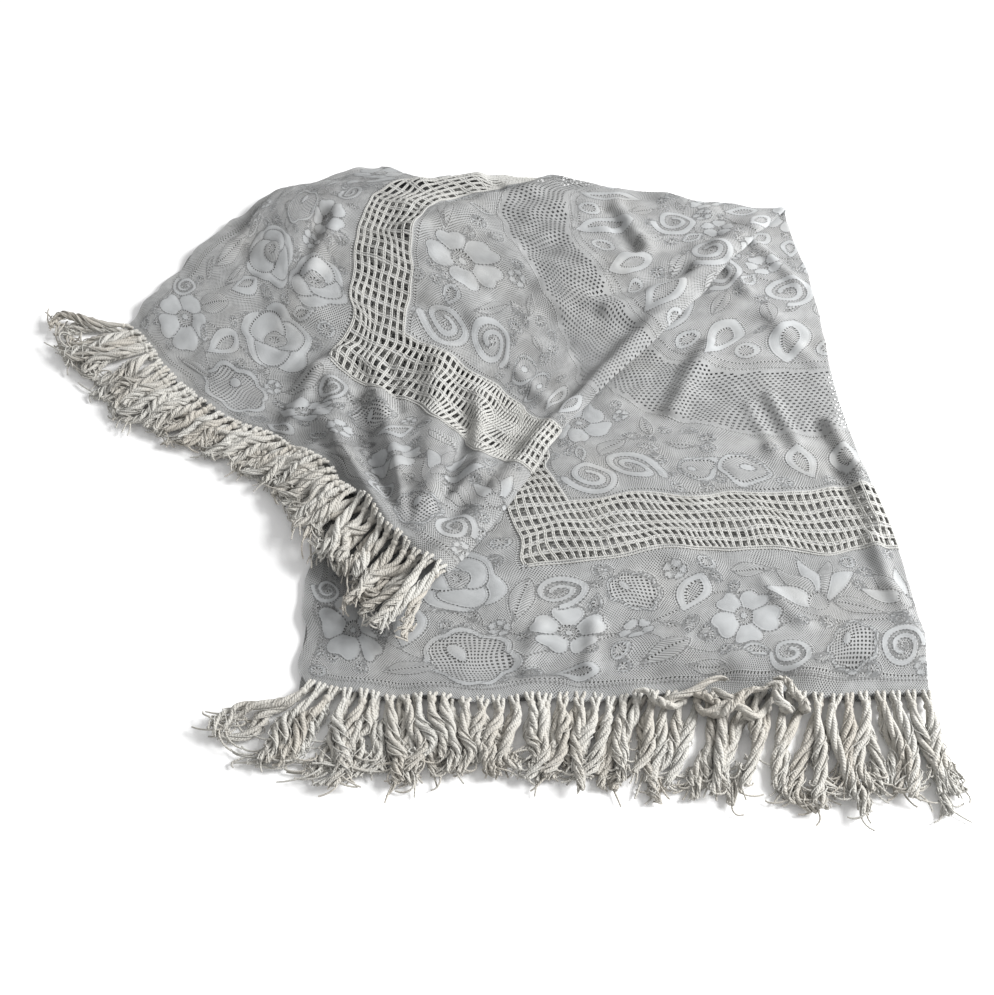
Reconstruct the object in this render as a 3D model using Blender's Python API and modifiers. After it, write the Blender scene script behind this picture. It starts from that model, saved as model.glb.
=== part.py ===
"""A fringed crochet bedspread, folded in half lengthwise and then swung over on itself.

The cloth is laid from its own flat coordinates: s runs hem to hem, t runs fringe edge to fringe edge, and
both are zero at the middle of the bedspread. One map takes (s, t) to the floor, so that the cloth and the
two fringes always share the same folds. Metres, +Z up, the floor at z = 0.
"""

import math

import bmesh
import bpy
import numpy as np

# --- Driving sizes ----------------------------------------------------------------------------------
CLOTH_WIDTH = 1.76  # hem to hem
CLOTH_LENGTH = 2.16  # fringe edge to fringe edge
CLOTH_THICKNESS = 0.002
FOLD_RADIUS = 0.003  # of the lengthwise fold, to the middle of the cloth
TURN_RADIUS = 0.009  # of the second fold, to the middle of the folded pair
SWING = math.radians(18.5)  # how far the second fold leans from square across

FRINGE_LENGTH = 0.150
FRINGE_THICKNESS = 0.003
FRINGE_HEADING = 0.022  # the knotted strip along the cloth's edge
TOOTH_COUNT = 44
TOOTH_SHARE = 0.62  # of the pitch
EDGE_GAP = 0.0020  # between the cloth's edge and a fringe

DROP_WIDTH = 0.12  # past the near half's hem the far half comes down to the floor over this width
DROP_CLEAR = 0.012  # and starts this far outside the hem

# --- Where points of the bedspread lie: half, distance from the lengthwise fold, t, floor x, floor y ---
LANDMARKS = [
    ("near", 0.880, -1.080, -0.276, 0.605),
    ("near", 0.660, -1.080, -0.058, 0.600),
    ("near", 0.440, -1.080, 0.163, 0.590),
    ("near", 0.220, -1.080, 0.385, 0.598),
    ("near", 0.000, -1.080, 0.603, 0.597),
    ("near", 0.880, -0.750, -0.265, 0.931),
    ("near", 0.495, -0.760, 0.110, 0.892),
    ("near", 0.250, -0.760, 0.349, 0.892),
    ("near", 0.000, -0.760, 0.610, 0.905),
    ("near", 0.000, -0.900, 0.616, 0.770),
    ("near", 0.000, -0.600, 0.592, 1.060),
    ("near", 0.000, -0.400, 0.587, 1.250),
    ("near", 0.000, -0.200, 0.590, 1.443),
    ("near", 0.000, 0.000, 0.576, 1.626),
    ("far", 0.000, 1.080, -0.095, 0.762),
    ("far", 0.440, 1.080, -0.348, 1.037),
    ("far", 0.880, 1.080, -0.672, 1.331),
    ("far", 0.495, 0.760, -0.223, 1.243),
    ("far", 0.000, 0.760, 0.064, 1.016),
    ("far", 0.385, 0.500, -0.051, 1.485),
    ("far", 0.495, 0.420, -0.222, 1.651),
    ("far", 0.880, 0.750, -0.542, 1.600),
    ("far", 0.880, 0.530, -0.398, 1.722),
    ("near", 0.880, 0.294, -0.243, 1.766),
    ("near", 0.680, 0.228, -0.090, 1.722),
    ("near", 0.450, 0.151, 0.109, 1.722),
    ("near", 0.200, 0.067, 0.358, 1.668),
]
CORNER = (0.600, 1.650)  # where both folds meet before the cloth is eased onto its landmarks
EASE_REACH = 0.42

# --- Soft ridges: floor x0, y0, x1, y1, half width, height, lowest layer they lift --------------------
# Layers count from the floor: 0 and 1 are the near half, 2 and 3 the far half.
RIDGES = [
    (0.28, 0.650, 0.57, 0.690, 0.060, 0.024, 1),
    (0.45, 1.500, 0.50, 1.360, 0.060, 0.010, 1),
    (-0.10, 1.150, -0.12, 0.880, 0.065, 0.016, 3),
    (-0.16, 1.560, 0.12, 1.670, 0.080, 0.014, 3),
    (-0.42, 1.640, -0.12, 1.660, 0.075, 0.016, 3),
    (0.15, 1.410, 0.33, 1.420, 0.070, 0.012, 3),
]
ROLL_OFFSET = 0.024  # the far half is rolled along the lengthwise fold, this far in from it
ROLL_WIDTH = 0.017
ROLL_HEIGHT = 0.020

# --- Fringe: distance from the lengthwise fold, lean of its threads in degrees ------------------------
NEAR_FAN = [(0.00, 4.0), (0.10, 6.0), (0.20, -8.0), (0.45, -4.0), (0.70, -8.0), (0.80, -26.0), (0.88, -66.0)]
FAR_FAN = [(0.00, 0.0), (0.12, 16.0), (0.35, 8.0), (0.60, 2.0), (0.76, -8.0), (0.82, -30.0), (0.88, -66.0)]

# --- Mesh rows and columns ----------------------------------------------------------------------------
COLUMNS = [
    0.0025, 0.0052, 0.011, 0.018, 0.026, 0.034, 0.044, 0.060, 0.090, 0.135, 0.185,
    0.240, 0.300, 0.360, 0.425, 0.490, 0.560, 0.630, 0.700, 0.765, 0.825, 0.880,
]
NEAR_ROWS = 16
TURN_ROWS = 5
FAR_ROWS = 17


def smooth(low, high, value):
    """0 below low, 1 above high, and a soft step between."""
    x = np.clip((value - low) / (high - low), 0.0, 1.0)
    return x * x * (3.0 - 2.0 * x)


def fold(s, t):
    """The folded cloth before it is eased.

    Gives the floor point of each fold's line or flat cloth (x, y), how far the two folds bulge out from it
    (bulge_x, bulge_y), the height, the layer from 0 to 3 and the distance past the second fold.
    """
    quarter = math.pi * FOLD_RADIUS / 2.0
    theta = np.clip(s / FOLD_RADIUS, -math.pi / 2.0, math.pi / 2.0)
    inward = np.minimum(quarter - np.abs(s), 0.0)
    outward = FOLD_RADIUS * np.cos(theta)
    rise = -FOLD_RADIUS * np.sin(theta)
    lean_x, lean_y = math.sin(SWING), math.cos(SWING)
    past = (inward + outward) * lean_x + t * lean_y
    alpha = np.clip(past / TURN_RADIUS, 0.0, math.pi)
    back = np.maximum(past, 0.0) + np.maximum(past - math.pi * TURN_RADIUS, 0.0)
    x = CORNER[0] + inward - back * lean_x
    y = CORNER[1] + t - back * lean_y
    reach = (TURN_RADIUS - rise) * np.sin(alpha)
    z = CLOTH_THICKNESS / 2.0 + FOLD_RADIUS + TURN_RADIUS - (TURN_RADIUS - rise) * np.cos(alpha)
    turn = alpha / math.pi
    half = rise / (2.0 * FOLD_RADIUS)
    layer = (1.0 - turn) * (0.5 + half) + turn * (2.5 - half)
    out_x = outward * np.cos(2.0 * SWING * turn)
    out_y = -outward * np.sin(2.0 * SWING * turn)
    return x, y, out_x + reach * lean_x, out_y + reach * lean_y, z, layer, past


def ease_weights():
    """Solve how far each landmark has to pull, so that the eased cloth passes through all of them."""
    s = np.array([row[1] for row in LANDMARKS])
    t = np.array([row[2] for row in LANDMARKS])
    x, y = fold(s, t)[:2]
    target = np.array([[row[3], row[4]] for row in LANDMARKS])
    centres = np.stack([x, y], axis=1)
    apart = ((centres[:, None, :] - centres[None, :, :]) ** 2).sum(axis=2)
    pull = np.linalg.solve(np.exp(-apart / EASE_REACH**2) + 0.01 * np.eye(len(s)), target - centres)
    return centres, pull


CENTRES, PULL = ease_weights()


def eased(x, y):
    """Shift floor points so that the landmarks of the cloth come to their places."""
    move_x, move_y = np.zeros_like(x), np.zeros_like(y)
    for (centre_x, centre_y), (pull_x, pull_y) in zip(CENTRES, PULL):
        weight = np.exp(-((x - centre_x) ** 2 + (y - centre_y) ** 2) / EASE_REACH**2)
        move_x = move_x + weight * pull_x
        move_y = move_y + weight * pull_y
    return x + move_x, y + move_y


def near_hem():
    """Where the near half's side hem lies on the floor, from its fringe end to the second fold."""
    t = np.linspace(-CLOTH_LENGTH / 2.0, CLOTH_WIDTH / 2.0 * math.tan(SWING), 30)
    x, y = fold(np.full_like(t, -CLOTH_WIDTH / 2.0), t)[:2]
    return eased(x, y)


NEAR_HEM_X, NEAR_HEM_Y = near_hem()


def ridge_height(x, y, layer):
    """The summed height of the soft ridges under a floor point, for cloth of the given layer."""
    total = np.zeros_like(x)
    for x0, y0, x1, y1, width, height, lowest in RIDGES:
        dx, dy = x1 - x0, y1 - y0
        place = np.clip(((x - x0) * dx + (y - y0) * dy) / (dx * dx + dy * dy), 0.0, 1.0)
        away = np.hypot(x - x0 - place * dx, y - y0 - place * dy)
        total = total + height * np.exp(-((away / width) ** 2)) * smooth(lowest - 1.0, lowest, layer)
    return total


def lay(s, t):
    """The place of a point of the cloth, (s, t), on the floor: x, y and z."""
    x, y, bulge_x, bulge_y, z, layer, past = fold(s, t)
    x, y = eased(x, y)
    x, y = x + bulge_x, y + bulge_y
    outside = np.interp(y, NEAR_HEM_Y, NEAR_HEM_X) - DROP_CLEAR - x
    z = z - 2.0 * TURN_RADIUS * smooth(0.03, 0.20, past) * smooth(0.0, DROP_WIDTH, outside)
    roll = ROLL_HEIGHT * np.exp(-(((np.abs(s) - ROLL_OFFSET) / ROLL_WIDTH) ** 2))
    z = z + roll * smooth(0.03, 0.12, past) * smooth(1.0, 2.0, layer)
    z = z + ridge_height(x, y, layer)
    return x, y, z


def past_to_t(s, past):
    """The t at which a column of the cloth lies a given distance past the second fold."""
    quarter = math.pi * FOLD_RADIUS / 2.0
    theta = np.clip(s / FOLD_RADIUS, -math.pi / 2.0, math.pi / 2.0)
    across = np.where(np.abs(s) <= quarter, FOLD_RADIUS * np.cos(theta), quarter - np.abs(s))
    return (past - across * math.sin(SWING)) / math.cos(SWING)


def columns():
    """The cloth's mesh columns from hem to hem, the same on both sides of the lengthwise fold."""
    half = np.array(COLUMNS)
    return np.concatenate([-half[::-1], [0.0], half])


def grid_object(name, points, faces, thickness, material, collection):
    """One closed sheet body from a grid of points, thickened evenly to both sides."""
    mesh = bpy.data.meshes.new(name)
    mesh.from_pydata([tuple(p) for p in points], [], [tuple(f) for f in faces])
    mesh.materials.append(material)
    solid = bpy.data.objects.new(name, mesh)
    collection.objects.link(solid)
    thicken = solid.modifiers.new("thickness", "SOLIDIFY")
    thicken.thickness = thickness
    thicken.offset = 0.0
    thicken.use_even_offset = False
    return solid


def cloth_grid():
    """Vertices and faces of the whole bedspread, its rows following the second fold."""
    s = columns()
    start, end = past_to_t(s, 0.0), past_to_t(s, math.pi * TURN_RADIUS)
    rows = []
    for step in np.linspace(0.0, 1.0, NEAR_ROWS, endpoint=False):
        rows.append(-CLOTH_LENGTH / 2.0 + step * (start + CLOTH_LENGTH / 2.0))
    for step in np.linspace(0.0, 1.0, TURN_ROWS, endpoint=False):
        rows.append(start + step * (end - start))
    for step in np.linspace(0.0, 1.0, FAR_ROWS + 1):
        rows.append(end + step * (CLOTH_LENGTH / 2.0 - end))
    t = np.array(rows)
    x, y, z = lay(np.broadcast_to(s, t.shape), t)
    points = np.stack([x.ravel(), y.ravel(), z.ravel()], axis=1)
    count = len(s)
    faces = []
    for row in range(t.shape[0] - 1):
        for column in range(count - 1):
            first = row * count + column
            faces.append((first, first + 1, first + count + 1, first + count))
    return points, faces


def along_cloth(s, t):
    """Rows of points at constant t that follow the straight mesh edges between the cloth's own columns."""
    own = columns()
    grid_s, grid_t = np.meshgrid(own, t)
    x, y, z = lay(grid_s, grid_t)
    return tuple(np.array([np.interp(s, own, row) for row in axis]) for axis in (x, y, z))


def fringe_grid(end, fan):
    """Vertices and faces of one fringe: a strip along the cloth's edge with teeth cut into it."""
    pitch = CLOTH_WIDTH / TOOTH_COUNT
    gap = pitch * (1.0 - TOOTH_SHARE)
    edges = [-CLOTH_WIDTH / 2.0]
    for tooth in range(TOOTH_COUNT):
        left = -CLOTH_WIDTH / 2.0 + tooth * pitch
        edges.append(left + gap / 2.0)
        edges.append(left + pitch - gap / 2.0)
    edges.append(CLOTH_WIDTH / 2.0)
    turn = [-0.0052, -0.0025, 0.0, 0.0025, 0.0052]
    s = np.array(sorted(edges + turn))
    out = np.array([EDGE_GAP, FRINGE_HEADING, 0.45 * FRINGE_LENGTH, FRINGE_LENGTH])
    grid_s, grid_out = np.meshgrid(s, out)
    x, y, z = along_cloth(s, end * (CLOTH_LENGTH / 2.0 + out))
    edge_x, edge_y = x[:1], y[:1]
    lean = np.radians(np.interp(np.abs(grid_s), [row[0] for row in fan], [row[1] for row in fan]))
    dx, dy = x - edge_x, y - edge_y
    x = edge_x + dx * np.cos(lean) - dy * np.sin(lean)
    y = edge_y + dx * np.sin(lean) + dy * np.cos(lean)
    z = z + (FRINGE_THICKNESS - CLOTH_THICKNESS) / 2.0
    points = np.stack([x.ravel(), y.ravel(), z.ravel()], axis=1)
    count = len(s)
    middles = (s[:-1] + s[1:]) / 2.0
    place = np.mod(middles + CLOTH_WIDTH / 2.0, pitch)
    tooth = (place > gap / 2.0) & (place < pitch - gap / 2.0) & (np.abs(middles) > 0.0052)
    faces = []
    for row in range(len(out) - 1):
        for column in range(count - 1):
            if row == 0 or tooth[column]:
                first = row * count + column
                faces.append((first, first + 1, first + count + 1, first + count))
    used = sorted({index for face in faces for index in face})
    place_of = {index: new for new, index in enumerate(used)}
    faces = [tuple(place_of[index] for index in face) for face in faces]
    if end < 0:
        faces = [face[::-1] for face in faces]
    return points[used], faces


def material(name, colour, roughness):
    """A plain matt fabric."""
    made = bpy.data.materials.new(name)
    made.use_nodes = True
    shader = made.node_tree.nodes["Principled BSDF"]
    shader.inputs["Base Color"].default_value = (*colour, 1.0)
    shader.inputs["Roughness"].default_value = roughness
    return made


def clear():
    """Start from an empty file."""
    for item in list(bpy.data.objects):
        bpy.data.objects.remove(item, do_unlink=True)


def main():
    clear()
    collection = bpy.data.collections.new("crochet_bedspread")
    bpy.context.scene.collection.children.link(collection)
    lace = material("lace_cotton", (0.66, 0.67, 0.66), 0.95)
    near_yarn = material("near_fringe_yarn", (0.62, 0.57, 0.49), 0.95)
    far_yarn = material("far_fringe_yarn", (0.62, 0.57, 0.49), 0.95)
    cloth_points, cloth_faces = cloth_grid()
    near_points, near_faces = fringe_grid(-1.0, NEAR_FAN)
    far_points, far_faces = fringe_grid(1.0, FAR_FAN)
    everything = np.concatenate([cloth_points, near_points, far_points])
    centre = (everything.min(axis=0) + everything.max(axis=0)) / 2.0
    shift = np.array([centre[0], centre[1], 0.0])
    print("floor shift", shift)
    grid_object("lace_cloth", cloth_points - shift, cloth_faces, CLOTH_THICKNESS, lace, collection)
    grid_object("near_fringe", near_points - shift, near_faces, FRINGE_THICKNESS, near_yarn, collection)
    grid_object("far_fringe", far_points - shift, far_faces, FRINGE_THICKNESS, far_yarn, collection)


main()
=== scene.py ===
"""Looks of the crochet bedspread: patterned lace cloth, folded twice, with a knotted yarn fringe at both ends.

Every point of the cloth has flat coordinates (s, t) in metres: s from hem to hem and t from fringe edge to fringe
edge, both zero at the middle. Laying takes them to the floor. LaceDesign draws the pattern of one quarter, which
the bedspread repeats in mirror image, and the cloth pieces carry it as attributes for their material.
"""

import logging
import math
from dataclasses import dataclass, field
from enum import Enum

import bpy
import numpy as np
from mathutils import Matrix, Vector


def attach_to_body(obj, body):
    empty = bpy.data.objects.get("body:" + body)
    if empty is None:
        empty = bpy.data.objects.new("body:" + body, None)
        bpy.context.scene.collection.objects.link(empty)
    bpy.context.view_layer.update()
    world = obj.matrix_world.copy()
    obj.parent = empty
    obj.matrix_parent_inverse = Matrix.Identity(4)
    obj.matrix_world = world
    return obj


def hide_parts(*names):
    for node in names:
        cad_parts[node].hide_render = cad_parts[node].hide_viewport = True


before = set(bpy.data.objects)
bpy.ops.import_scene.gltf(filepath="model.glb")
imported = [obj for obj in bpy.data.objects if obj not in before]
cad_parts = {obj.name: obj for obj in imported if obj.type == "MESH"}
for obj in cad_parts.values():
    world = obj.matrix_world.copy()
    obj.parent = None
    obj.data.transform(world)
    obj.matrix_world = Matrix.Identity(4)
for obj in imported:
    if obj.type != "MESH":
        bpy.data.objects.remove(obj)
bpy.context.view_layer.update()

log = logging.getLogger("bedspread")
MM = 0.001


# --- Small helpers ----------------------------------------------------------------------------------------------


def linear(code: str) -> tuple[float, float, float, float]:
    """Turn an sRGB hex colour into linear RGBA.

    Args:
        code: six hex digits, with or without a leading hash.

    Returns:
        The colour as Blender's colour sockets take it.
    """
    digits = code.lstrip("#")
    values = [int(digits[i : i + 2], 16) / 255.0 for i in (0, 2, 4)]
    out = [v / 12.92 if v <= 0.04045 else ((v + 0.055) / 1.055) ** 2.4 for v in values]
    return (out[0], out[1], out[2], 1.0)


def smooth(low: float, high: float, value: np.ndarray) -> np.ndarray:
    """Soft step from 0 at low to 1 at high."""
    x = np.clip((value - low) / (high - low), 0.0, 1.0)
    return x * x * (3.0 - 2.0 * x)


def node(tree: bpy.types.NodeTree, kind: str, links: dict | None = None, **settings: object) -> bpy.types.Node:
    """Add one node to a tree with its settings, socket values and incoming links.

    Args:
        tree: the node tree.
        kind: the node's type name.
        links: input name or index to a value or to an output socket.
        settings: the node's own properties.

    Returns:
        The new node.
    """
    made = tree.nodes.new(kind)
    for key, value in settings.items():
        setattr(made, key, value)
    for key, value in (links or {}).items():
        if isinstance(value, bpy.types.NodeSocket):
            tree.links.new(value, made.inputs[key])
        else:
            made.inputs[key].default_value = value
    return made


class Maths:
    """Short sums in a shader tree, each giving the socket that holds its result."""

    def __init__(self, tree: bpy.types.NodeTree) -> None:
        """Keep the tree that the sums are added to."""
        self.tree = tree

    def op(self, operation: str, *values: object) -> bpy.types.NodeSocket:
        """One Math node on one to three values."""
        links = dict(enumerate(values))
        return node(self.tree, "ShaderNodeMath", links, operation=operation).outputs[0]

    def step(self, low: float, high: float, value: object) -> bpy.types.NodeSocket:
        """A soft step of value from 0 at low to 1 at high; low may be the larger."""
        links = {"Value": value, "From Min": low, "From Max": high}
        made = node(self.tree, "ShaderNodeMapRange", links, interpolation_type="SMOOTHSTEP")
        return made.outputs["Result"]

    def wave(self, value: object, period: float) -> bpy.types.NodeSocket:
        """The cosine of value over a period, both in millimetres."""
        return self.op("COSINE", self.op("MULTIPLY", value, 2.0 * math.pi / period))

    def attribute(self, name: str) -> bpy.types.NodeSocket:
        """A value that the mesh carries."""
        return node(self.tree, "ShaderNodeAttribute", attribute_name=name).outputs["Fac"]

    def noise(self, place: object, scale: float, detail: float) -> bpy.types.NodeSocket:
        """Cloudy noise from 0 to 1."""
        links = {"Vector": place, "Scale": scale, "Detail": detail}
        return node(self.tree, "ShaderNodeTexNoise", links).outputs["Fac"]

    def mix(self, share: object, low: object, high: object) -> bpy.types.NodeSocket:
        """Blend two colours by a share from 0 to 1."""
        return node(self.tree, "ShaderNodeMix", {0: share, 6: low, 7: high}, data_type="RGBA").outputs[2]

    def scaled(self, colour: object, share: object) -> bpy.types.NodeSocket:
        """A colour made darker or lighter by a factor."""
        return node(self.tree, "ShaderNodeVectorMath", {0: colour, 3: share}, operation="SCALE").outputs[0]

    def surface(
        self,
        shader: bpy.types.Node,
        height: object,
        bump: tuple[float, float],
        roughness: float,
        sheen: float,
        specular: float,
    ) -> None:
        """Give a Principled shader its bump and the dull sheen of cotton.

        Args:
            shader: the Principled node.
            height: the bump's height.
            bump: the bump's distance in metres and its strength.
            roughness: the surface's roughness.
            sheen: the weight of the sheen.
            specular: the level of the reflection.
        """
        distance, strength = bump
        made = node(self.tree, "ShaderNodeBump", {"Height": height, "Distance": distance, "Strength": strength})
        self.tree.links.new(made.outputs["Normal"], shader.inputs["Normal"])
        shader.inputs["Roughness"].default_value = roughness
        shader.inputs["Sheen Weight"].default_value = sheen
        shader.inputs["Sheen Roughness"].default_value = 0.6
        shader.inputs["Specular IOR Level"].default_value = specular


# --- How the cloth lies -----------------------------------------------------------------------------------------


class Half(Enum):
    """The half of the bedspread on either side of its second fold."""

    NEAR = -1.0
    FAR = 1.0


@dataclass(frozen=True)
class Crease:
    """A soft ridge, or a trough where its height is negative, along a line on the floor."""

    x0: float
    y0: float
    x1: float
    y1: float
    width: float
    height: float
    lowest: int

    def lift(self, x: np.ndarray, y: np.ndarray, layer: np.ndarray) -> np.ndarray:
        """How far the crease lifts cloth of a given layer.

        Args:
            x: floor x of the points.
            y: floor y of the points.
            layer: their layer, from 0 at the floor to 3 on top.

        Returns:
            The lift in metres.
        """
        dx, dy = self.x1 - self.x0, self.y1 - self.y0
        place = ((x - self.x0) * dx + (y - self.y0) * dy) / math.hypot(dx, dy) ** 2
        held = np.clip(place, 0.0, 1.0)
        away = np.hypot(x - self.x0 - held * dx, y - self.y0 - held * dy)
        rise = self.height * np.exp(-((away / self.width) ** 2))
        return rise * smooth(self.lowest - 1.0, self.lowest, layer)


@dataclass
class Laying:
    """The map from the flat bedspread to the way it lies: the solid model's own folds, with more creases."""

    width: float = 1.76
    length: float = 2.16
    thickness: float = 0.002
    fold_radius: float = 0.003
    turn_radius: float = 0.009
    swing: float = math.radians(18.5)
    corner: tuple[float, float] = (0.600, 1.650)
    reach: float = 0.42
    shift: tuple[float, float] = (-0.08892204, 1.11421858)
    drop_width: float = 0.12
    drop_clear: float = 0.012
    roll_offset: float = 0.029
    roll_width: float = 0.022
    roll_height: float = 0.018
    landmarks: tuple = (
        (0.880, -1.080, -0.276, 0.605),
        (0.660, -1.080, -0.058, 0.600),
        (0.440, -1.080, 0.163, 0.590),
        (0.220, -1.080, 0.385, 0.598),
        (0.000, -1.080, 0.603, 0.597),
        (0.880, -0.750, -0.265, 0.931),
        (0.495, -0.760, 0.110, 0.892),
        (0.250, -0.760, 0.349, 0.892),
        (0.000, -0.760, 0.610, 0.905),
        (0.000, -0.900, 0.616, 0.770),
        (0.000, -0.600, 0.592, 1.060),
        (0.000, -0.400, 0.587, 1.250),
        (0.000, -0.200, 0.590, 1.443),
        (0.000, 0.000, 0.576, 1.626),
        (0.000, 1.080, -0.095, 0.762),
        (0.440, 1.080, -0.348, 1.037),
        (0.880, 1.080, -0.672, 1.331),
        (0.495, 0.760, -0.223, 1.243),
        (0.000, 0.760, 0.064, 1.016),
        (0.385, 0.500, -0.051, 1.485),
        (0.495, 0.420, -0.222, 1.651),
        (0.880, 0.750, -0.542, 1.600),
        (0.880, 0.530, -0.398, 1.722),
        (0.880, 0.294, -0.243, 1.766),
        (0.680, 0.228, -0.090, 1.722),
        (0.450, 0.151, 0.109, 1.722),
        (0.200, 0.067, 0.358, 1.668),
    )
    slack: float = 0.01
    hem_steps: int = 30
    drop_start: tuple[float, float] = (0.03, 0.20)
    roll_start: tuple[float, float] = (0.03, 0.12)
    loose_from: float = 0.12
    creases: tuple = ()
    wave_set: int = 18
    wave_lengths: tuple[float, float] = (0.045, 0.170)
    wave_fade: float = 0.8
    ripple_height: float = 0.0022
    ripple_level: float = 1.4
    ripple_share: tuple[float, float] = (0.45, 0.30)
    wobble: float = 0.0036
    soft_floor: float = 0.0015
    highest: float = 0.035
    seed: int = 11

    def __post_init__(self) -> None:
        """Solve the landmarks' pulls and find the near half's side hem."""
        rng = np.random.default_rng(self.seed)
        count = 3 * self.wave_set
        wave = 2.0 * math.pi / rng.uniform(*self.wave_lengths, count)
        angle = rng.uniform(0.0, 2.0 * math.pi, count)
        phase = rng.uniform(0.0, 2.0 * math.pi, count)
        self.waves = np.stack([wave * np.cos(angle), wave * np.sin(angle), phase], axis=1)
        self.wave_share = (wave.min() / wave) ** self.wave_fade
        rows = np.array(self.landmarks)
        x, y = self.fold(rows[:, 0], rows[:, 1])[:2]
        self.centres = np.stack([x, y], axis=1)
        apart = ((self.centres[:, None, :] - self.centres[None, :, :]) ** 2).sum(axis=2)
        kernel = np.exp(-apart / self.reach**2) + self.slack * np.eye(len(rows))
        self.pull = np.linalg.solve(kernel, rows[:, 2:4] - self.centres)
        t = np.linspace(-self.length / 2.0, self.width / 2.0 * math.tan(self.swing), self.hem_steps)
        x, y = self.fold(np.full_like(t, -self.width / 2.0), t)[:2]
        self.hem_x, self.hem_y = self.eased(x, y)

    def fold(self, s: np.ndarray, t: np.ndarray) -> tuple:
        """Fold the cloth twice, before it is eased.

        Args:
            s: distance across the cloth from its middle.
            t: distance along the cloth from its middle.

        Returns:
            Floor x and y, the folds' bulge in x and y, the height, the layer and the distance past the second fold.
        """
        quarter = math.pi * self.fold_radius / 2.0
        theta = np.clip(s / self.fold_radius, -math.pi / 2.0, math.pi / 2.0)
        inward = np.minimum(quarter - np.abs(s), 0.0)
        outward = self.fold_radius * np.cos(theta)
        rise = -self.fold_radius * np.sin(theta)
        lean_x, lean_y = math.sin(self.swing), math.cos(self.swing)
        past = (inward + outward) * lean_x + t * lean_y
        alpha = np.clip(past / self.turn_radius, 0.0, math.pi)
        back = np.maximum(past, 0.0) + np.maximum(past - math.pi * self.turn_radius, 0.0)
        x = self.corner[0] + inward - back * lean_x
        y = self.corner[1] + t - back * lean_y
        reach = (self.turn_radius - rise) * np.sin(alpha)
        z = self.thickness / 2.0 + self.fold_radius + self.turn_radius
        z = z - (self.turn_radius - rise) * np.cos(alpha)
        turn = alpha / math.pi
        half = rise / (2.0 * self.fold_radius)
        layer = (1.0 - turn) * (0.5 + half) + turn * (2.5 - half)
        out_x = outward * np.cos(2.0 * self.swing * turn)
        out_y = -outward * np.sin(2.0 * self.swing * turn)
        return x, y, out_x + reach * lean_x, out_y + reach * lean_y, z, layer, past

    def eased(self, x: np.ndarray, y: np.ndarray) -> tuple[np.ndarray, np.ndarray]:
        """Shift floor points so that the landmarks of the cloth come near their places.

        Args:
            x: floor x of the folded cloth.
            y: floor y of the folded cloth.

        Returns:
            The shifted x and y.
        """
        move_x, move_y = np.zeros_like(x), np.zeros_like(y)
        for (centre_x, centre_y), (pull_x, pull_y) in zip(self.centres, self.pull):
            weight = np.exp(-((x - centre_x) ** 2 + (y - centre_y) ** 2) / self.reach**2)
            move_x = move_x + weight * pull_x
            move_y = move_y + weight * pull_y
        return x + move_x, y + move_y

    def noise(self, u: np.ndarray, v: np.ndarray, first: int) -> np.ndarray:
        """Smooth uneven waves, about from -2 to 2, the same for the same points each time.

        Args:
            u: first coordinate of the points.
            v: second coordinate of the points.
            first: the first wave of the set to use.

        Returns:
            A value for each point.
        """
        total = np.zeros_like(u)
        chosen = slice(first, first + self.wave_set)
        share = self.wave_share[chosen]
        for (wave_u, wave_v, phase), weight in zip(self.waves[chosen], share):
            total = total + weight * np.sin(wave_u * u + wave_v * v + phase)
        return total / math.sqrt((share**2).sum() / 2.0)

    def place(self, s: np.ndarray, t: np.ndarray) -> np.ndarray:
        """Lay points of the cloth.

        Args:
            s: distance across the cloth from its middle.
            t: distance along the cloth from its middle.

        Returns:
            The points, with x, y and z on the last axis, in the row frame.
        """
        x, y, bulge_x, bulge_y, z, layer, past = self.fold(s, t)
        x, y = self.eased(x, y)
        x, y = x + bulge_x, y + bulge_y
        loose = smooth(0.0, self.loose_from, np.abs(s)) * self.wobble
        x = x + loose * self.noise(s, t, 0)
        y = y + loose * self.noise(s, t, self.wave_set)
        outside = np.interp(y, self.hem_y, self.hem_x) - self.drop_clear - x
        down = smooth(*self.drop_start, past) * smooth(0.0, self.drop_width, outside)
        z = z - 2.0 * self.turn_radius * down
        roll = self.roll_height * np.exp(-(((np.abs(s) - self.roll_offset) / self.roll_width) ** 2))
        lift = roll * smooth(*self.roll_start, past) * smooth(1.0, 2.0, layer)
        for crease in self.creases:
            lift = lift + crease.lift(x, y, layer)
        ripple = self.ripple_height * (self.ripple_level + self.noise(x, y, 2 * self.wave_set))
        lift = lift + ripple * (self.ripple_share[0] + self.ripple_share[1] * layer)
        lift = self.soft_floor * np.log1p(np.exp(np.clip(lift / self.soft_floor, -30.0, 30.0)))
        lift = self.highest * np.tanh(lift / self.highest)
        return np.stack([x - self.shift[0], y - self.shift[1], z + lift], axis=-1)


def crease_line(width: float, height: float, lowest: int, *points: tuple[float, float]) -> list[Crease]:
    """Creases end to end along a line of floor points."""
    return [Crease(*a, *b, width, height, lowest) for a, b in zip(points, points[1:])]


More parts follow.
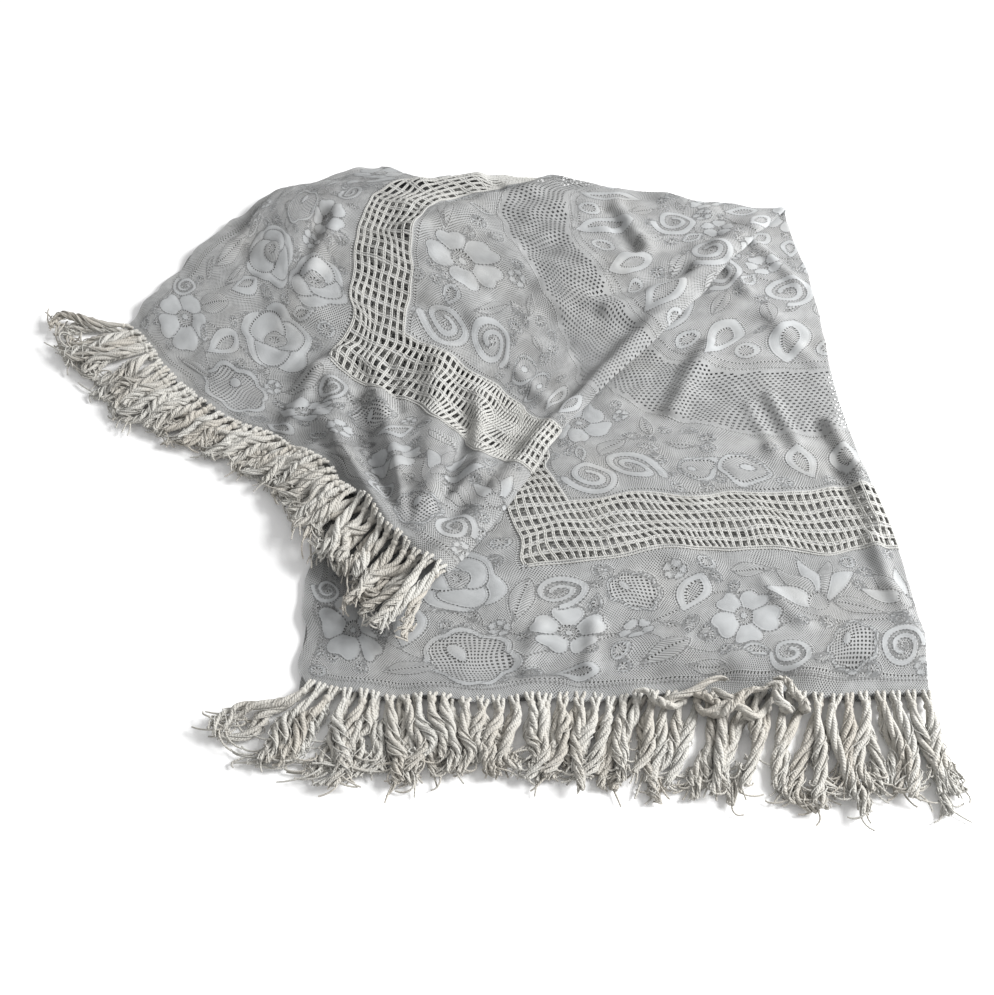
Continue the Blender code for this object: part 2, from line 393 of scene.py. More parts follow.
TOP, LOW = 3, 1
CREASES = (
    # Broad soft swells in the solid model's places, most of them lower than there.
    Crease(0.28, 0.650, 0.57, 0.690, 0.060, 0.018, LOW),
    Crease(0.45, 1.500, 0.50, 1.360, 0.060, 0.010, LOW),
    Crease(-0.16, 1.560, 0.12, 1.670, 0.080, 0.010, TOP),
    Crease(-0.42, 1.640, -0.12, 1.660, 0.075, 0.011, TOP),
    Crease(0.15, 1.410, 0.33, 1.420, 0.070, 0.010, TOP),
    Crease(-0.15, 1.120, -0.12, 0.880, 0.090, 0.011, TOP),
    # Puckers that fan out from the gathered end of the top layer.
    Crease(-0.100, 1.209, -0.110, 0.850, 0.021, 0.024, TOP),
    *crease_line(0.017, 0.014, TOP, (-0.260, 1.248), (-0.312, 1.196), (-0.351, 1.079)),
    *crease_line(0.016, -0.012, TOP, (-0.299, 1.300), (-0.351, 1.209), (-0.377, 1.118)),
    Crease(-0.286, 1.170, -0.260, 1.040, 0.015, 0.013, TOP),
    *crease_line(0.014, -0.014, TOP, (-0.240, 1.196), (-0.214, 1.040), (-0.169, 0.936)),
    Crease(-0.188, 1.209, -0.165, 1.100, 0.012, -0.011, TOP),
    Crease(-0.200, 1.130, -0.156, 0.970, 0.014, 0.016, TOP),
    Crease(-0.050, 1.090, -0.078, 0.936, 0.014, -0.013, TOP),
    Crease(-0.030, 1.130, -0.026, 0.960, 0.015, 0.013, TOP),
    Crease(-0.150, 0.840, -0.300, 1.100, 0.013, 0.010, TOP),
    Crease(-0.148, 0.838, -0.245, 1.010, 0.011, 0.014, TOP),
    Crease(-0.135, 0.835, -0.165, 1.000, 0.010, 0.010, TOP),
    Crease(-0.130, 0.835, -0.060, 1.060, 0.011, 0.014, TOP),
    Crease(-0.120, 0.830, -0.030, 0.980, 0.010, 0.010, TOP),
    # Folds along the far edge of the top layer.
    *crease_line(0.020, 0.016, TOP, (-0.169, 1.560), (-0.065, 1.612), (0.065, 1.677), (0.130, 1.729)),
    *crease_line(0.015, -0.016, TOP, (-0.156, 1.625), (-0.065, 1.672), (0.000, 1.695)),
    *crease_line(0.018, 0.017, TOP, (-0.429, 1.680), (-0.156, 1.694), (-0.039, 1.716)),
    Crease(-0.380, 1.456, -0.340, 1.612, 0.013, -0.011, TOP),
    Crease(-0.350, 1.450, -0.310, 1.610, 0.017, 0.012, TOP),
    Crease(-0.500, 1.560, -0.450, 1.660, 0.016, 0.010, TOP),
    # Short tucks beside the lengthwise fold.
    Crease(0.182, 1.378, 0.351, 1.443, 0.013, -0.012, TOP),
    Crease(0.200, 1.340, 0.335, 1.395, 0.015, 0.015, TOP),
    Crease(0.214, 1.625, 0.260, 1.508, 0.013, -0.011, TOP),
    Crease(0.240, 1.640, 0.288, 1.510, 0.015, 0.011, TOP),
    Crease(0.040, 1.480, 0.120, 1.330, 0.020, 0.007, TOP),
    Crease(-0.080, 1.420, -0.020, 1.270, 0.020, 0.008, TOP),
    Crease(0.030, 1.200, 0.090, 1.110, 0.014, 0.009, TOP),
    # Folds of the lower half.
    Crease(0.299, 1.118, 0.377, 1.274, 0.017, 0.015, LOW),
    Crease(0.255, 1.131, 0.325, 1.264, 0.014, -0.009, LOW),
    *crease_line(0.014, 0.014, LOW, (0.559, 1.090), (0.580, 0.990), (0.592, 0.890)),
    Crease(0.536, 1.090, 0.560, 0.930, 0.011, -0.008, LOW),
    Crease(0.468, 1.150, 0.494, 1.050, 0.013, 0.010, LOW),
    Crease(0.430, 1.130, 0.455, 1.030, 0.012, 0.007, LOW),
    Crease(0.578, 0.858, 0.598, 0.676, 0.013, 0.013, LOW),
    *crease_line(0.024, 0.021, LOW, (0.345, 0.640), (0.429, 0.643), (0.520, 0.665), (0.580, 0.686)),
    Crease(0.143, 0.702, 0.130, 0.640, 0.014, 0.011, LOW),
    Crease(0.060, 0.700, 0.040, 0.640, 0.013, 0.007, LOW),
    Crease(0.416, 1.521, 0.468, 1.404, 0.013, 0.010, LOW),
    Crease(0.494, 1.560, 0.565, 1.430, 0.013, 0.010, LOW),
    Crease(0.500, 1.330, 0.560, 1.230, 0.016, 0.008, LOW),
    Crease(0.180, 0.860, 0.330, 0.800, 0.016, 0.006, LOW),
    Crease(0.400, 0.780, 0.440, 0.700, 0.013, 0.008, LOW),
)


# --- The lace pattern -------------------------------------------------------------------------------------------


class Fill(Enum):
    """How the inside of a motif is worked."""

    GROUND = 0
    CLOSE = 1
    HATCH = 2
    FILET = 3


@dataclass
class Line:
    """One outline or vein of a motif, in millimetres, with the work inside it where it is closed."""

    points: np.ndarray
    closed: bool = True
    dotted: bool = False
    fill: Fill | None = None
    grain: float = 0.0


def polar(wide: np.ndarray | float, long: np.ndarray | float, angle: np.ndarray) -> np.ndarray:
    """Points at given angles about the origin, with their own reach across and along."""
    return np.stack([wide * np.cos(angle), long * np.sin(angle)], axis=1)


def ring_points(radius: float, count: int = 24, lobes: int = 0, depth: float = 0.0) -> np.ndarray:
    """A circle, or a lobed one, about the origin.

    Args:
        radius: to the tips of the lobes.
        count: how many points.
        lobes: how many lobes.
        depth: how far the rim dips between them, as a share of the radius.

    Returns:
        The points.
    """
    angle = np.linspace(0.0, 2.0 * math.pi, count, endpoint=False)
    reach = radius * (1.0 - depth + depth * np.abs(np.cos(lobes * angle / 2.0)))
    return polar(reach, reach, angle)


def lens_points(length: float, width: float, bend: float = 0.0) -> np.ndarray:
    """A leaf from the origin along +x.

    Args:
        length: from the origin to the tip.
        width: across the middle.
        bend: how far the tip curves to one side.

    Returns:
        The outline.
    """
    u = np.linspace(0.0, 1.0, 14)
    half = width / 2.0 * np.sin(math.pi * u**0.8)
    middle = bend * np.sin(math.pi * u / 2.0) * u
    upper = np.stack([u * length, middle + half], axis=1)
    lower = np.stack([u[::-1] * length, (middle - half)[::-1]], axis=1)
    return np.concatenate([upper, lower[1:-1]])


def rose(size: float) -> list[Line]:
    """A full rose: a lobed rim, three inner petals, a hatched heart and a pierced eye.

    Args:
        size: the motif's size in millimetres.

    Returns:
        Its lines in painting order.
    """
    lines = [Line(ring_points(size, 60, 5, 0.16), fill=Fill.CLOSE)]
    for turn, reach in ((0.4, 0.62), (2.5, 0.58), (4.5, 0.60)):
        petal = ring_points(size * 0.50, 26, 2, 0.10)
        offset = size * 0.34 * np.array([math.cos(turn), math.sin(turn)])
        lines.append(Line(petal * reach / 0.6 + offset, fill=Fill.CLOSE, dotted=turn > 4.0))
    lines.append(Line(ring_points(size * 0.30, 20, 3, 0.2), fill=Fill.HATCH, grain=0.8))
    lines.append(Line(ring_points(size * 0.11, 10), fill=Fill.GROUND, dotted=True))
    return lines


def daisy(size: float) -> list[Line]:
    """Five broad petals round a pierced ring.

    Args:
        size: the motif's size in millimetres.

    Returns:
        Its lines in painting order.
    """
    lines = []
    for petal in range(5):
        angle = 2.0 * math.pi * petal / 5.0 + 0.3
        u = np.linspace(0.0, 2.0 * math.pi, 26, endpoint=False)
        reach = size * (0.58 + 0.42 * np.cos(u))
        spread = size * 0.40 * np.sin(u) * (1.0 + 0.35 * np.cos(u))
        notch = 1.0 - 0.10 * np.exp(-(u**2) / 0.08) - 0.10 * np.exp(-((u - 2.0 * math.pi) ** 2) / 0.08)
        shape = np.stack([reach * notch, spread], axis=1)
        lines.append(Line(turned(shape, angle), fill=Fill.CLOSE))
    lines.append(Line(ring_points(size * 0.27, 20), fill=Fill.GROUND, dotted=True))
    lines.append(Line(ring_points(size * 0.12, 12), fill=Fill.CLOSE))
    return lines


def leaf(size: float) -> list[Line]:
    """A curved leaf, hatched, with a pierced midrib.

    Args:
        size: the motif's size in millimetres.

    Returns:
        Its lines in painting order.
    """
    lines = [Line(lens_points(size, size * 0.42, size * 0.18) - [size / 2.0, 0.0], fill=Fill.HATCH, grain=1.1)]
    u = np.linspace(0.08, 0.9, 10)
    rib = np.stack([u * size - size / 2.0, size * 0.18 * np.sin(math.pi * u / 2.0) * u], axis=1)
    lines.append(Line(rib, closed=False, dotted=True))
    return lines


def petal_leaf(size: float) -> list[Line]:
    """A broad plain leaf with a smaller pierced one inside it."""
    outer = lens_points(size, size * 0.56) - [size / 2.0, 0.0]
    inner = lens_points(size * 0.55, size * 0.22) - [size * 0.30, 0.0]
    return [Line(outer, fill=Fill.CLOSE), Line(inner, fill=Fill.GROUND, dotted=True)]


def scroll(size: float) -> list[Line]:
    """A band that curls in on itself, with a small ring at its eye.

    Args:
        size: the motif's size in millimetres.

    Returns:
        Its lines in painting order.
    """
    angle = np.linspace(0.0, 3.6 * math.pi, 54)
    middle = size * (1.0 - 0.78 * angle / angle[-1])
    band = size * (0.17 - 0.05 * angle / angle[-1])
    outer = polar(middle + band, middle + band, angle)
    inner = polar(middle - band, middle - band, angle)
    body = np.concatenate([outer, inner[::-1]])
    return [Line(body, fill=Fill.CLOSE), Line(ring_points(size * 0.13, 10), fill=Fill.GROUND, dotted=True)]


def pierced_ring(size: float) -> list[Line]:
    """A small disc with a ring of holes."""
    hole = Line(ring_points(size * 0.52, 12), dotted=True, fill=Fill.GROUND)
    return [Line(ring_points(size, 18), fill=Fill.CLOSE), hole]


def shell(size: float) -> list[Line]:
    """A lobed shell filled with filet squares, with a pierced oval on it.

    Args:
        size: the motif's size in millimetres.

    Returns:
        Its lines in painting order.
    """
    oval = ring_points(size * 0.30, 18) * [0.6, 1.0] + [size * 0.12, -size * 0.25]
    rim = ring_points(size, 64, 7, 0.13)
    return [
        Line(rim, fill=Fill.CLOSE),
        Line(rim * 0.84, fill=Fill.FILET),
        Line(oval, fill=Fill.CLOSE, dotted=True),
    ]


def paisley(size: float) -> list[Line]:
    """A drop with a curled tip, hatched inside a plain rim.

    Args:
        size: the motif's size in millimetres.

    Returns:
        Its lines in painting order.
    """
    u = np.linspace(0.0, 2.0 * math.pi, 40, endpoint=False)
    reach = size * (0.80 + 0.20 * np.cos(u)) * (1.0 + 0.45 * np.exp(-((u - 0.6) ** 2) / 0.12))
    rim = polar(reach, reach, u)
    return [
        Line(rim, fill=Fill.CLOSE),
        Line(rim * 0.76, fill=Fill.HATCH, grain=0.5, dotted=True),
        Line(ring_points(size * 0.22, 14), fill=Fill.CLOSE),
    ]


def fan(size: float) -> list[Line]:
    """A spread fan of five blades, hatched and close in turn, round a pierced ring.

    Args:
        size: the motif's size in millimetres.

    Returns:
        Its lines in painting order.
    """
    lines = []
    for rib in range(5):
        angle = math.radians(-64.0 + 32.0 * rib)
        blade = turned(lens_points(size * 1.25, size * 0.46), angle) - [size * 0.45, 0.0]
        lines.append(Line(blade, fill=Fill.HATCH if rib % 2 else Fill.CLOSE, grain=angle))
    lines.append(Line(ring_points(size * 0.24, 18) - [size * 0.40, 0.0], fill=Fill.GROUND, dotted=True))
    return lines


def turned(points: np.ndarray, angle: float) -> np.ndarray:
    """Points turned about the origin."""
    c, s = math.cos(angle), math.sin(angle)
    return points @ np.array([[c, s], [-s, c]])


class Motif(Enum):
    """The motifs of the lace."""

    ROSE = "rose"
    DAISY = "daisy"
    LEAF = "leaf"
    PETAL = "petal_leaf"
    SCROLL = "scroll"
    RING = "pierced_ring"
    SHELL = "shell"
    PAISLEY = "paisley"
    FAN = "fan"

    def lines(self, size: float) -> list[Line]:
        """Draw the motif about the origin.

        Args:
            size: its size in millimetres.

        Returns:
            Its lines in painting order.
        """
        makers = {
            Motif.ROSE: rose,
            Motif.DAISY: daisy,
            Motif.LEAF: leaf,
            Motif.PETAL: petal_leaf,
            Motif.SCROLL: scroll,
            Motif.RING: pierced_ring,
            Motif.SHELL: shell,
            Motif.PAISLEY: paisley,
            Motif.FAN: fan,
        }
        return makers[self](size)


# Where motifs lie in one quarter: kind, millimetres across from the middle, millimetres along, size, turn in degrees.
BORDER = (
    (Motif.FAN, 158, 890, 72, -80),
    (Motif.FAN, 20, 905, 56, -90),
    (Motif.LEAF, 92, 945, 84, 150),
    (Motif.DAISY, 270, 952, 56, 10),
    (Motif.RING, 316, 850, 15, 0),
    (Motif.RING, 88, 850, 14, 0),
    (Motif.PETAL, 345, 900, 74, 60),
    (Motif.SHELL, 418, 888, 40, 20),
    (Motif.RING, 440, 1002, 15, 0),
    (Motif.LEAF, 385, 1000, 74, 20),
    (Motif.SHELL, 114, 1010, 44, 0),
    (Motif.SCROLL, 205, 1022, 30, 0),
    (Motif.SCROLL, 40, 1010, 32, 180),
    (Motif.LEAF, 330, 1030, 60, -20),
    (Motif.DAISY, 508, 945, 46, 30),
    (Motif.SHELL, 628, 992, 64, 15),
    (Motif.SCROLL, 512, 872, 30, 90),
    (Motif.PETAL, 500, 1032, 70, 0),
    (Motif.LEAF, 562, 880, 80, 60),
    (Motif.ROSE, 602, 690, 55, 20),
    (Motif.ROSE, 636, 836, 69, 80),
    (Motif.ROSE, 720, 698, 70, 150),
    (Motif.PETAL, 705, 925, 90, 80),
    (Motif.PETAL, 740, 800, 76, 60),
    (Motif.LEAF, 820, 560, 96, 95),
    (Motif.LEAF, 826, 770, 96, 80),
    (Motif.LEAF, 775, 880, 92, 45),
    (Motif.LEAF, 775, 790, 80, 60),
    (Motif.RING, 650, 755, 13, 0),
    (Motif.RING, 566, 765, 14, 0),
    (Motif.DAISY, 795, 965, 60, 50),
    (Motif.LEAF, 715, 1010, 80, 10),
    (Motif.SCROLL, 842, 905, 26, 0),
    (Motif.SCROLL, 845, 665, 24, 0),
    (Motif.RING, 745, 945, 14, 0),
    (Motif.RING, 848, 1045, 14, 0),
    (Motif.SHELL, 705, 545, 58, 0),
    (Motif.DAISY, 608, 535, 46, 0),
    (Motif.PAISLEY, 800, 455, 44, 90),
    (Motif.SCROLL, 600, 440, 34, 0),
    (Motif.FAN, 705, 415, 58, 90),
    (Motif.ROSE, 620, 335, 52, 0),
    (Motif.LEAF, 730, 320, 96, 40),
    (Motif.DAISY, 810, 340, 50, 0),
    (Motif.SHELL, 620, 215, 50, 0),
    (Motif.FAN, 740, 205, 62, 180),
    (Motif.LEAF, 830, 235, 86, 90),
    (Motif.SCROLL, 835, 130, 28, 0),
    (Motif.DAISY, 620, 100, 50, 0),
    (Motif.LEAF, 700, 110, 90, 70),
    (Motif.PAISLEY, 770, 60, 48, 0),
    (Motif.SHELL, 650, 0, 46, 0),
)
INNER = (
    (Motif.SCROLL, 395, 645, 40, 0),
    (Motif.SCROLL, 318, 640, 42, 140),
    (Motif.DAISY, 375, 500, 60, 0),
    (Motif.PAISLEY, 232, 640, 40, 160),
    (Motif.PAISLEY, 150, 645, 40, 20),
    (Motif.PETAL, 80, 640, 74, 90),
    (Motif.PETAL, 25, 645, 74, 80),
    (Motif.RING, 275, 585, 14, 0),
    (Motif.RING, 190, 598, 11, 0),
    (Motif.RING, 112, 604, 11, 0),
    (Motif.RING, 445, 580, 13, 0),
    (Motif.LEAF, 330, 575, 70, 30),
    (Motif.LEAF, 425, 420, 66, 90),
    (Motif.PAISLEY, 418, 335, 30, 0),
    (Motif.SCROLL, 420, 255, 30, 90),
    (Motif.DAISY, 424, 175, 34, 0),
    (Motif.PAISLEY, 424, 95, 30, 0),
    (Motif.SCROLL, 426, 22, 28, 90),
)


# The centre's motifs: at which angles, then kind, reach from the middle, size, whether it turns with the angle, by
# how much more.
MEDALLION_STRETCH = 1.12
MEDALLION = (
    (range(9, 99, 18), ((Motif.PETAL, 322, 104, 1, 0),)),
    (range(0, 108, 18), ((Motif.RING, 342, 19, 0, 0), (Motif.LEAF, 262, 62, 1, 10))),
    ((12, 45, 78), ((Motif.SCROLL, 205, 40, 1, 0),)),
    ((-6, 28, 62, 96), ((Motif.DAISY, 148, 30, 1, 0),)),
    ((10, 45, 80), ((Motif.PETAL, 88, 62, 1, 0),)),
)


def medallion() -> list[tuple]:
    """The centre's motifs: rings of leaves, scrolls and small flowers about the middle.

    Returns:
        Rows of the same kind as BORDER's.
    """
    rows = []
    for angles, motifs in MEDALLION:
        for angle in angles:
            turn = math.radians(angle)
            for kind, reach, size, follows, more in motifs:
                a, b = reach * math.cos(turn), reach * MEDALLION_STRETCH * math.sin(turn)
                rows.append((kind, a, b, size, follows * angle + more))
    rows.append((Motif.DAISY, 0.0, 0.0, 48, 0))
    return rows


@dataclass
class LaceDesign:
    """The pattern of one quarter on the cloth's own grid, which is also its mesh."""

    across: int = 246
    along: int = 324
    ladder_column: float = 10.75
    ladder_row: float = 20.0
    column_cells: int = 3
    row_cells: int = 6
    half_width: float = 880.0
    half_length: float = 1080.0
    leg: tuple[float, float] = (451.5, 537.5)
    band: tuple[float, float] = (700.0, 820.0)
    mesh_outer: tuple[float, float] = (445.0, 590.0)
    mesh_inner: tuple[float, float] = (372.0, 425.0)
    seam: float = 7.0
    rings: tuple[float, float] = (118.0, 182.0)
    fillers: tuple = ((34.0, 500), (24.0, 900), (16.0, 1500), (10.0, 1600))
    filler_area: tuple[float, float] = (855.0, 1052.0)
    smallest_leaf: float = 12.0
    hem_room: float = 24.0
    ladder_room: tuple[float, float] = (4.0, 8.0)
    mesh_room: float = 20.0
    ladder_edge: float = 3.0
    overlap: float = 0.80
    draw_reach: float = 14.0
    dot_pitch: float = 5.0
    relief_edge: float = 4.0
    far: float = 20.0
    seed: int = 4

    def __post_init__(self) -> None:
        """Lay out the grid and draw every motif onto it."""
        step_a = self.ladder_column / self.column_cells
        step_b = self.ladder_row / self.row_cells
        self.a = np.minimum(np.arange(self.across + 1) * step_a, self.half_width)
        self.b = np.arange(self.along + 1) * step_b
        shape = (self.along + 1, self.across + 1)
        self.grid_a, self.grid_b = np.meshgrid(self.a, self.b)
        self.signed = np.full(shape, self.far)
        self.near = np.full(shape, self.far)
        self.run = np.zeros(shape)
        self.dotted = np.zeros(shape)
        self.fill = np.zeros(shape, dtype=int)
        self.stripe = np.zeros(shape)
        self.draw_all()

    def scattered(self, placed: list[tuple]) -> list[tuple]:
        """Small motifs that fill the gaps between the placed ones.

        Args:
            placed: the motifs that already have their places.

        Returns:
            More rows of the same kind.
        """
        rng = np.random.default_rng(self.seed)
        long_kinds = (Motif.LEAF, Motif.PETAL)
        kinds = (*long_kinds, Motif.SCROLL, Motif.PAISLEY, Motif.DAISY)
        spots = [(a, b, size * (0.5 if kind in long_kinds else 1.0)) for kind, a, b, size, _ in placed]
        rows = []
        for reach, tries in self.fillers:
            for _ in range(tries):
                a, b = (rng.uniform(0.0, limit) for limit in self.filler_area)
                if self.crowded(a, b, reach, spots):
                    continue
                kind = kinds[rng.integers(len(kinds))] if reach > self.smallest_leaf else Motif.RING
                size = reach * 2.0 if kind in long_kinds else reach
                rows.append((kind, a, b, size, float(rng.uniform(0.0, 360.0))))
                spots.append((a, b, reach))
        return rows

    def crowded(self, a: float, b: float, reach: float, spots: list[tuple]) -> bool:
        """Whether a motif would lie on the ladder, the mesh, a hem or another motif.

        Args:
            a: millimetres across from the middle.
            b: millimetres along from the middle.
            reach: the motif's reach.
            spots: place and reach of each motif already there.

        Returns:
            True where there is no room.
        """
        if a + reach > self.half_width - self.hem_room or b + reach > self.half_length - self.hem_room:
            return True
        inner, outer = self.ladder_room
        in_frame = a - reach < self.leg[1] + outer and b - reach < self.band[1] + outer
        in_middle = a + reach < self.leg[0] - inner and b + reach < self.band[0] - inner
        if in_frame and not in_middle:
            return True
        if in_middle:
            (wide, long), (inner_wide, inner_long) = self.mesh_outer, self.mesh_inner
            far = math.hypot(a / (wide + reach), b / (long + reach))
            less = reach + self.mesh_room
            close = math.hypot(a / (inner_wide - less), b / (inner_long - less))
            if far < 1.0 < close:
                return True
        return any(math.hypot(a - x, b - y) < reach + self.overlap * r for x, y, r in spots)

    def ladder_cells(self) -> tuple[tuple[int, ...], tuple[int, ...]]:
        """The first and last cell of the ladder's legs across, and of its bands along."""
        leg = tuple(round(v / self.ladder_column * self.column_cells) for v in self.leg)
        band = tuple(round(v / self.ladder_row * self.row_cells) for v in self.band)
        return leg, band

    def zone_lines(self) -> list[Line]:
        """The seams between the zones: beside the ladder, round the mesh and in the medallion.

        Returns:
            The lines.
        """
        lines = []
        for place, away in ((0, -self.seam), (1, self.seam)):
            a, b = self.leg[place] + away, self.band[place] + away
            lines.append(Line(np.array([[a, -10.0], [a, b], [-10.0, b]]), closed=False, dotted=True))
        angle = np.linspace(-0.1, math.pi / 2.0 + 0.1, 90)
        outward = 1.0 - 0.012 * np.abs(np.sin(13.0 * angle))
        inward = 1.0 + 0.020 * np.abs(np.sin(9.0 * angle))
        seams = (
            (self.mesh_outer, 4.0, outward, False),
            (self.mesh_inner, -4.0, inward, False),
            (self.mesh_inner, -18.0, inward, True),
        )
        for (wide, long), grow, wave, dotted in seams:
            curve = polar((wide + grow) * wave, (long + grow) * wave, angle)
            lines.append(Line(curve, closed=False, dotted=dotted))
        angle = np.linspace(-0.2, math.pi / 2.0 + 0.2, 50)
        for radius in self.rings:
            lines.append(Line(polar(radius, MEDALLION_STRETCH * radius, angle), closed=False, dotted=True))
        return lines

    def draw_all(self) -> None:
        """Draw stems, zone seams and motifs in painting order, then the masks that the material reads."""
        for line in self.stems() + self.zone_lines():
            self.draw(line)
        placed = list(BORDER) + list(INNER) + medallion()
        for kind, a, b, size, turn in self.scattered(placed) + placed:
            for line in kind.lines(size):
                points = turned(line.points, math.radians(turn)) + np.array([a, b])
                grain = line.grain + math.radians(turn)
                self.draw(Line(points, line.closed, line.dotted, line.fill, grain))
        outer = self.ellipse(self.mesh_outer, 0.012, 13.0)
        inner = self.ellipse(self.mesh_inner, -0.020, 9.0)
        self.mesh_zone = np.minimum(-outer, inner)
        edge = self.ladder_edge
        in_frame = (self.grid_a < self.leg[1] + edge) & (self.grid_b < self.band[1] + edge)
        self.ladder = in_frame & ((self.grid_a > self.leg[0] - edge) | (self.grid_b > self.band[0] - edge))
        plain = self.ladder | (self.mesh_zone > 0.0)
        self.fill[plain] = Fill.GROUND.value
        self.near[plain & (self.near > 6.0)] = self.far
        raised = np.isin(self.fill, (Fill.CLOSE.value, Fill.HATCH.value))
        self.relief = np.where(raised, 1.0 - np.exp(-self.near / self.relief_edge), 0.0)

    def ellipse(self, halves: tuple[float, float], depth: float, waves: float) -> np.ndarray:
        """Signed millimetres outside a scalloped oval about the middle.

        Args:
            halves: half its width and half its length.
            depth: how deep the scallops are, as a share of its size.
            waves: how closely they follow each other.

        Returns:
            A value for each point of the grid.
        """
        wide, long = halves
        angle = np.arctan2(self.grid_b / long, self.grid_a / wide)
        reach = 1.0 - depth * np.abs(np.sin(waves * angle))
        ratio = np.hypot(self.grid_a / wide, self.grid_b / long)
        return (ratio - reach) * 0.5 * (wide + long)

    def stems(self) -> list[Line]:
        """Thin stems that wander between the border's motifs, and the lines inside the hems.

        Returns:
            The lines.
        """
        lines = []
        a = np.linspace(0.0, 820.0, 120)
        lines.append(Line(np.stack([a, 935.0 + 34.0 * np.sin(a / 62.0)], axis=1), closed=False, dotted=True))
        lines.append(Line(np.stack([a, 985.0 + 26.0 * np.sin(a / 47.0 + 1.0)], axis=1), closed=False))
        b = np.linspace(0.0, 980.0, 140)
        lines.append(Line(np.stack([690.0 + 50.0 * np.sin(b / 70.0), b], axis=1), closed=False, dotted=True))
        lines.append(Line(np.stack([785.0 + 26.0 * np.sin(b / 45.0), b], axis=1), closed=False))
        for offset in (22.0, 30.0):
            a, b = self.half_width - offset, self.half_length - offset
            for start in ([a, -10.0], [-10.0, b]):
                lines.append(Line(np.array([start, [a, b]]), closed=False, dotted=offset > 25.0))
        return lines

    def draw(self, line: Line) -> None:
        """Add one line to the grid: its distance, its dots and the work inside it.

        Args:
            line: the line, in millimetres from the middle.
        """
        points = np.vstack([line.points, line.points[:1]]) if line.closed else line.points
        low, high = points.min(axis=0) - self.draw_reach, points.max(axis=0) + self.draw_reach
        i0, i1 = np.searchsorted(self.a, [low[0], high[0]])
        j0, j1 = np.searchsorted(self.b, [low[1], high[1]])
        if i0 >= i1 or j0 >= j1:
            return
        patch = (slice(j0, j1), slice(i0, i1))
        px, py = self.grid_a[patch], self.grid_b[patch]
        start, delta = points[:-1], np.diff(points, axis=0)
        length = np.maximum(np.hypot(delta[:, 0], delta[:, 1]), 1e-6)
        travelled = np.concatenate([[0.0], np.cumsum(length)[:-1]])
        total = travelled[-1] + length[-1]
        best = np.full(px.shape, 1e9)
        run, side = np.zeros(px.shape), np.ones(px.shape)
        inside = np.zeros(px.shape, dtype=bool)
        for k in range(len(start)):
            rx, ry = px - start[k, 0], py - start[k, 1]
            place = np.clip((rx * delta[k, 0] + ry * delta[k, 1]) / length[k] ** 2, 0.0, 1.0)
            away = np.hypot(rx - place * delta[k, 0], ry - place * delta[k, 1])
            closer = away < best
            best = np.where(closer, away, best)
            run = np.where(closer, travelled[k] + place * length[k], run)
            side = np.where(closer, np.where(rx * delta[k, 1] - ry * delta[k, 0] > 0.0, 1.0, -1.0), side)
            if line.closed:
                crosses = (start[k, 1] > py) != (start[k, 1] + delta[k, 1] > py)
                if delta[k, 1] != 0.0:
                    at = start[k, 0] + (py - start[k, 1]) / delta[k, 1] * delta[k, 0]
                    inside ^= crosses & (px < at)
        near, signed = self.near[patch], self.signed[patch]
        if line.closed and line.fill is not None:
            near[inside] = self.far
            self.fill[patch][inside] = line.fill.value
            along = px * math.cos(line.grain) + py * math.sin(line.grain)
            self.stripe[patch][inside] = along[inside]
        if line.closed:
            side = np.where(inside, -1.0, 1.0)
        dots = max(round(total / self.dot_pitch), 3)
        closer = best < near
        self.near[patch] = np.where(closer, best, near)
        self.signed[patch] = np.where(closer, best * side, signed)
        self.run[patch] = np.where(closer, run / total * dots, self.run[patch])
        self.dotted[patch] = np.where(closer, float(line.dotted), self.dotted[patch])


# --- Finishes ---------------------------------------------------------------------------------------------------


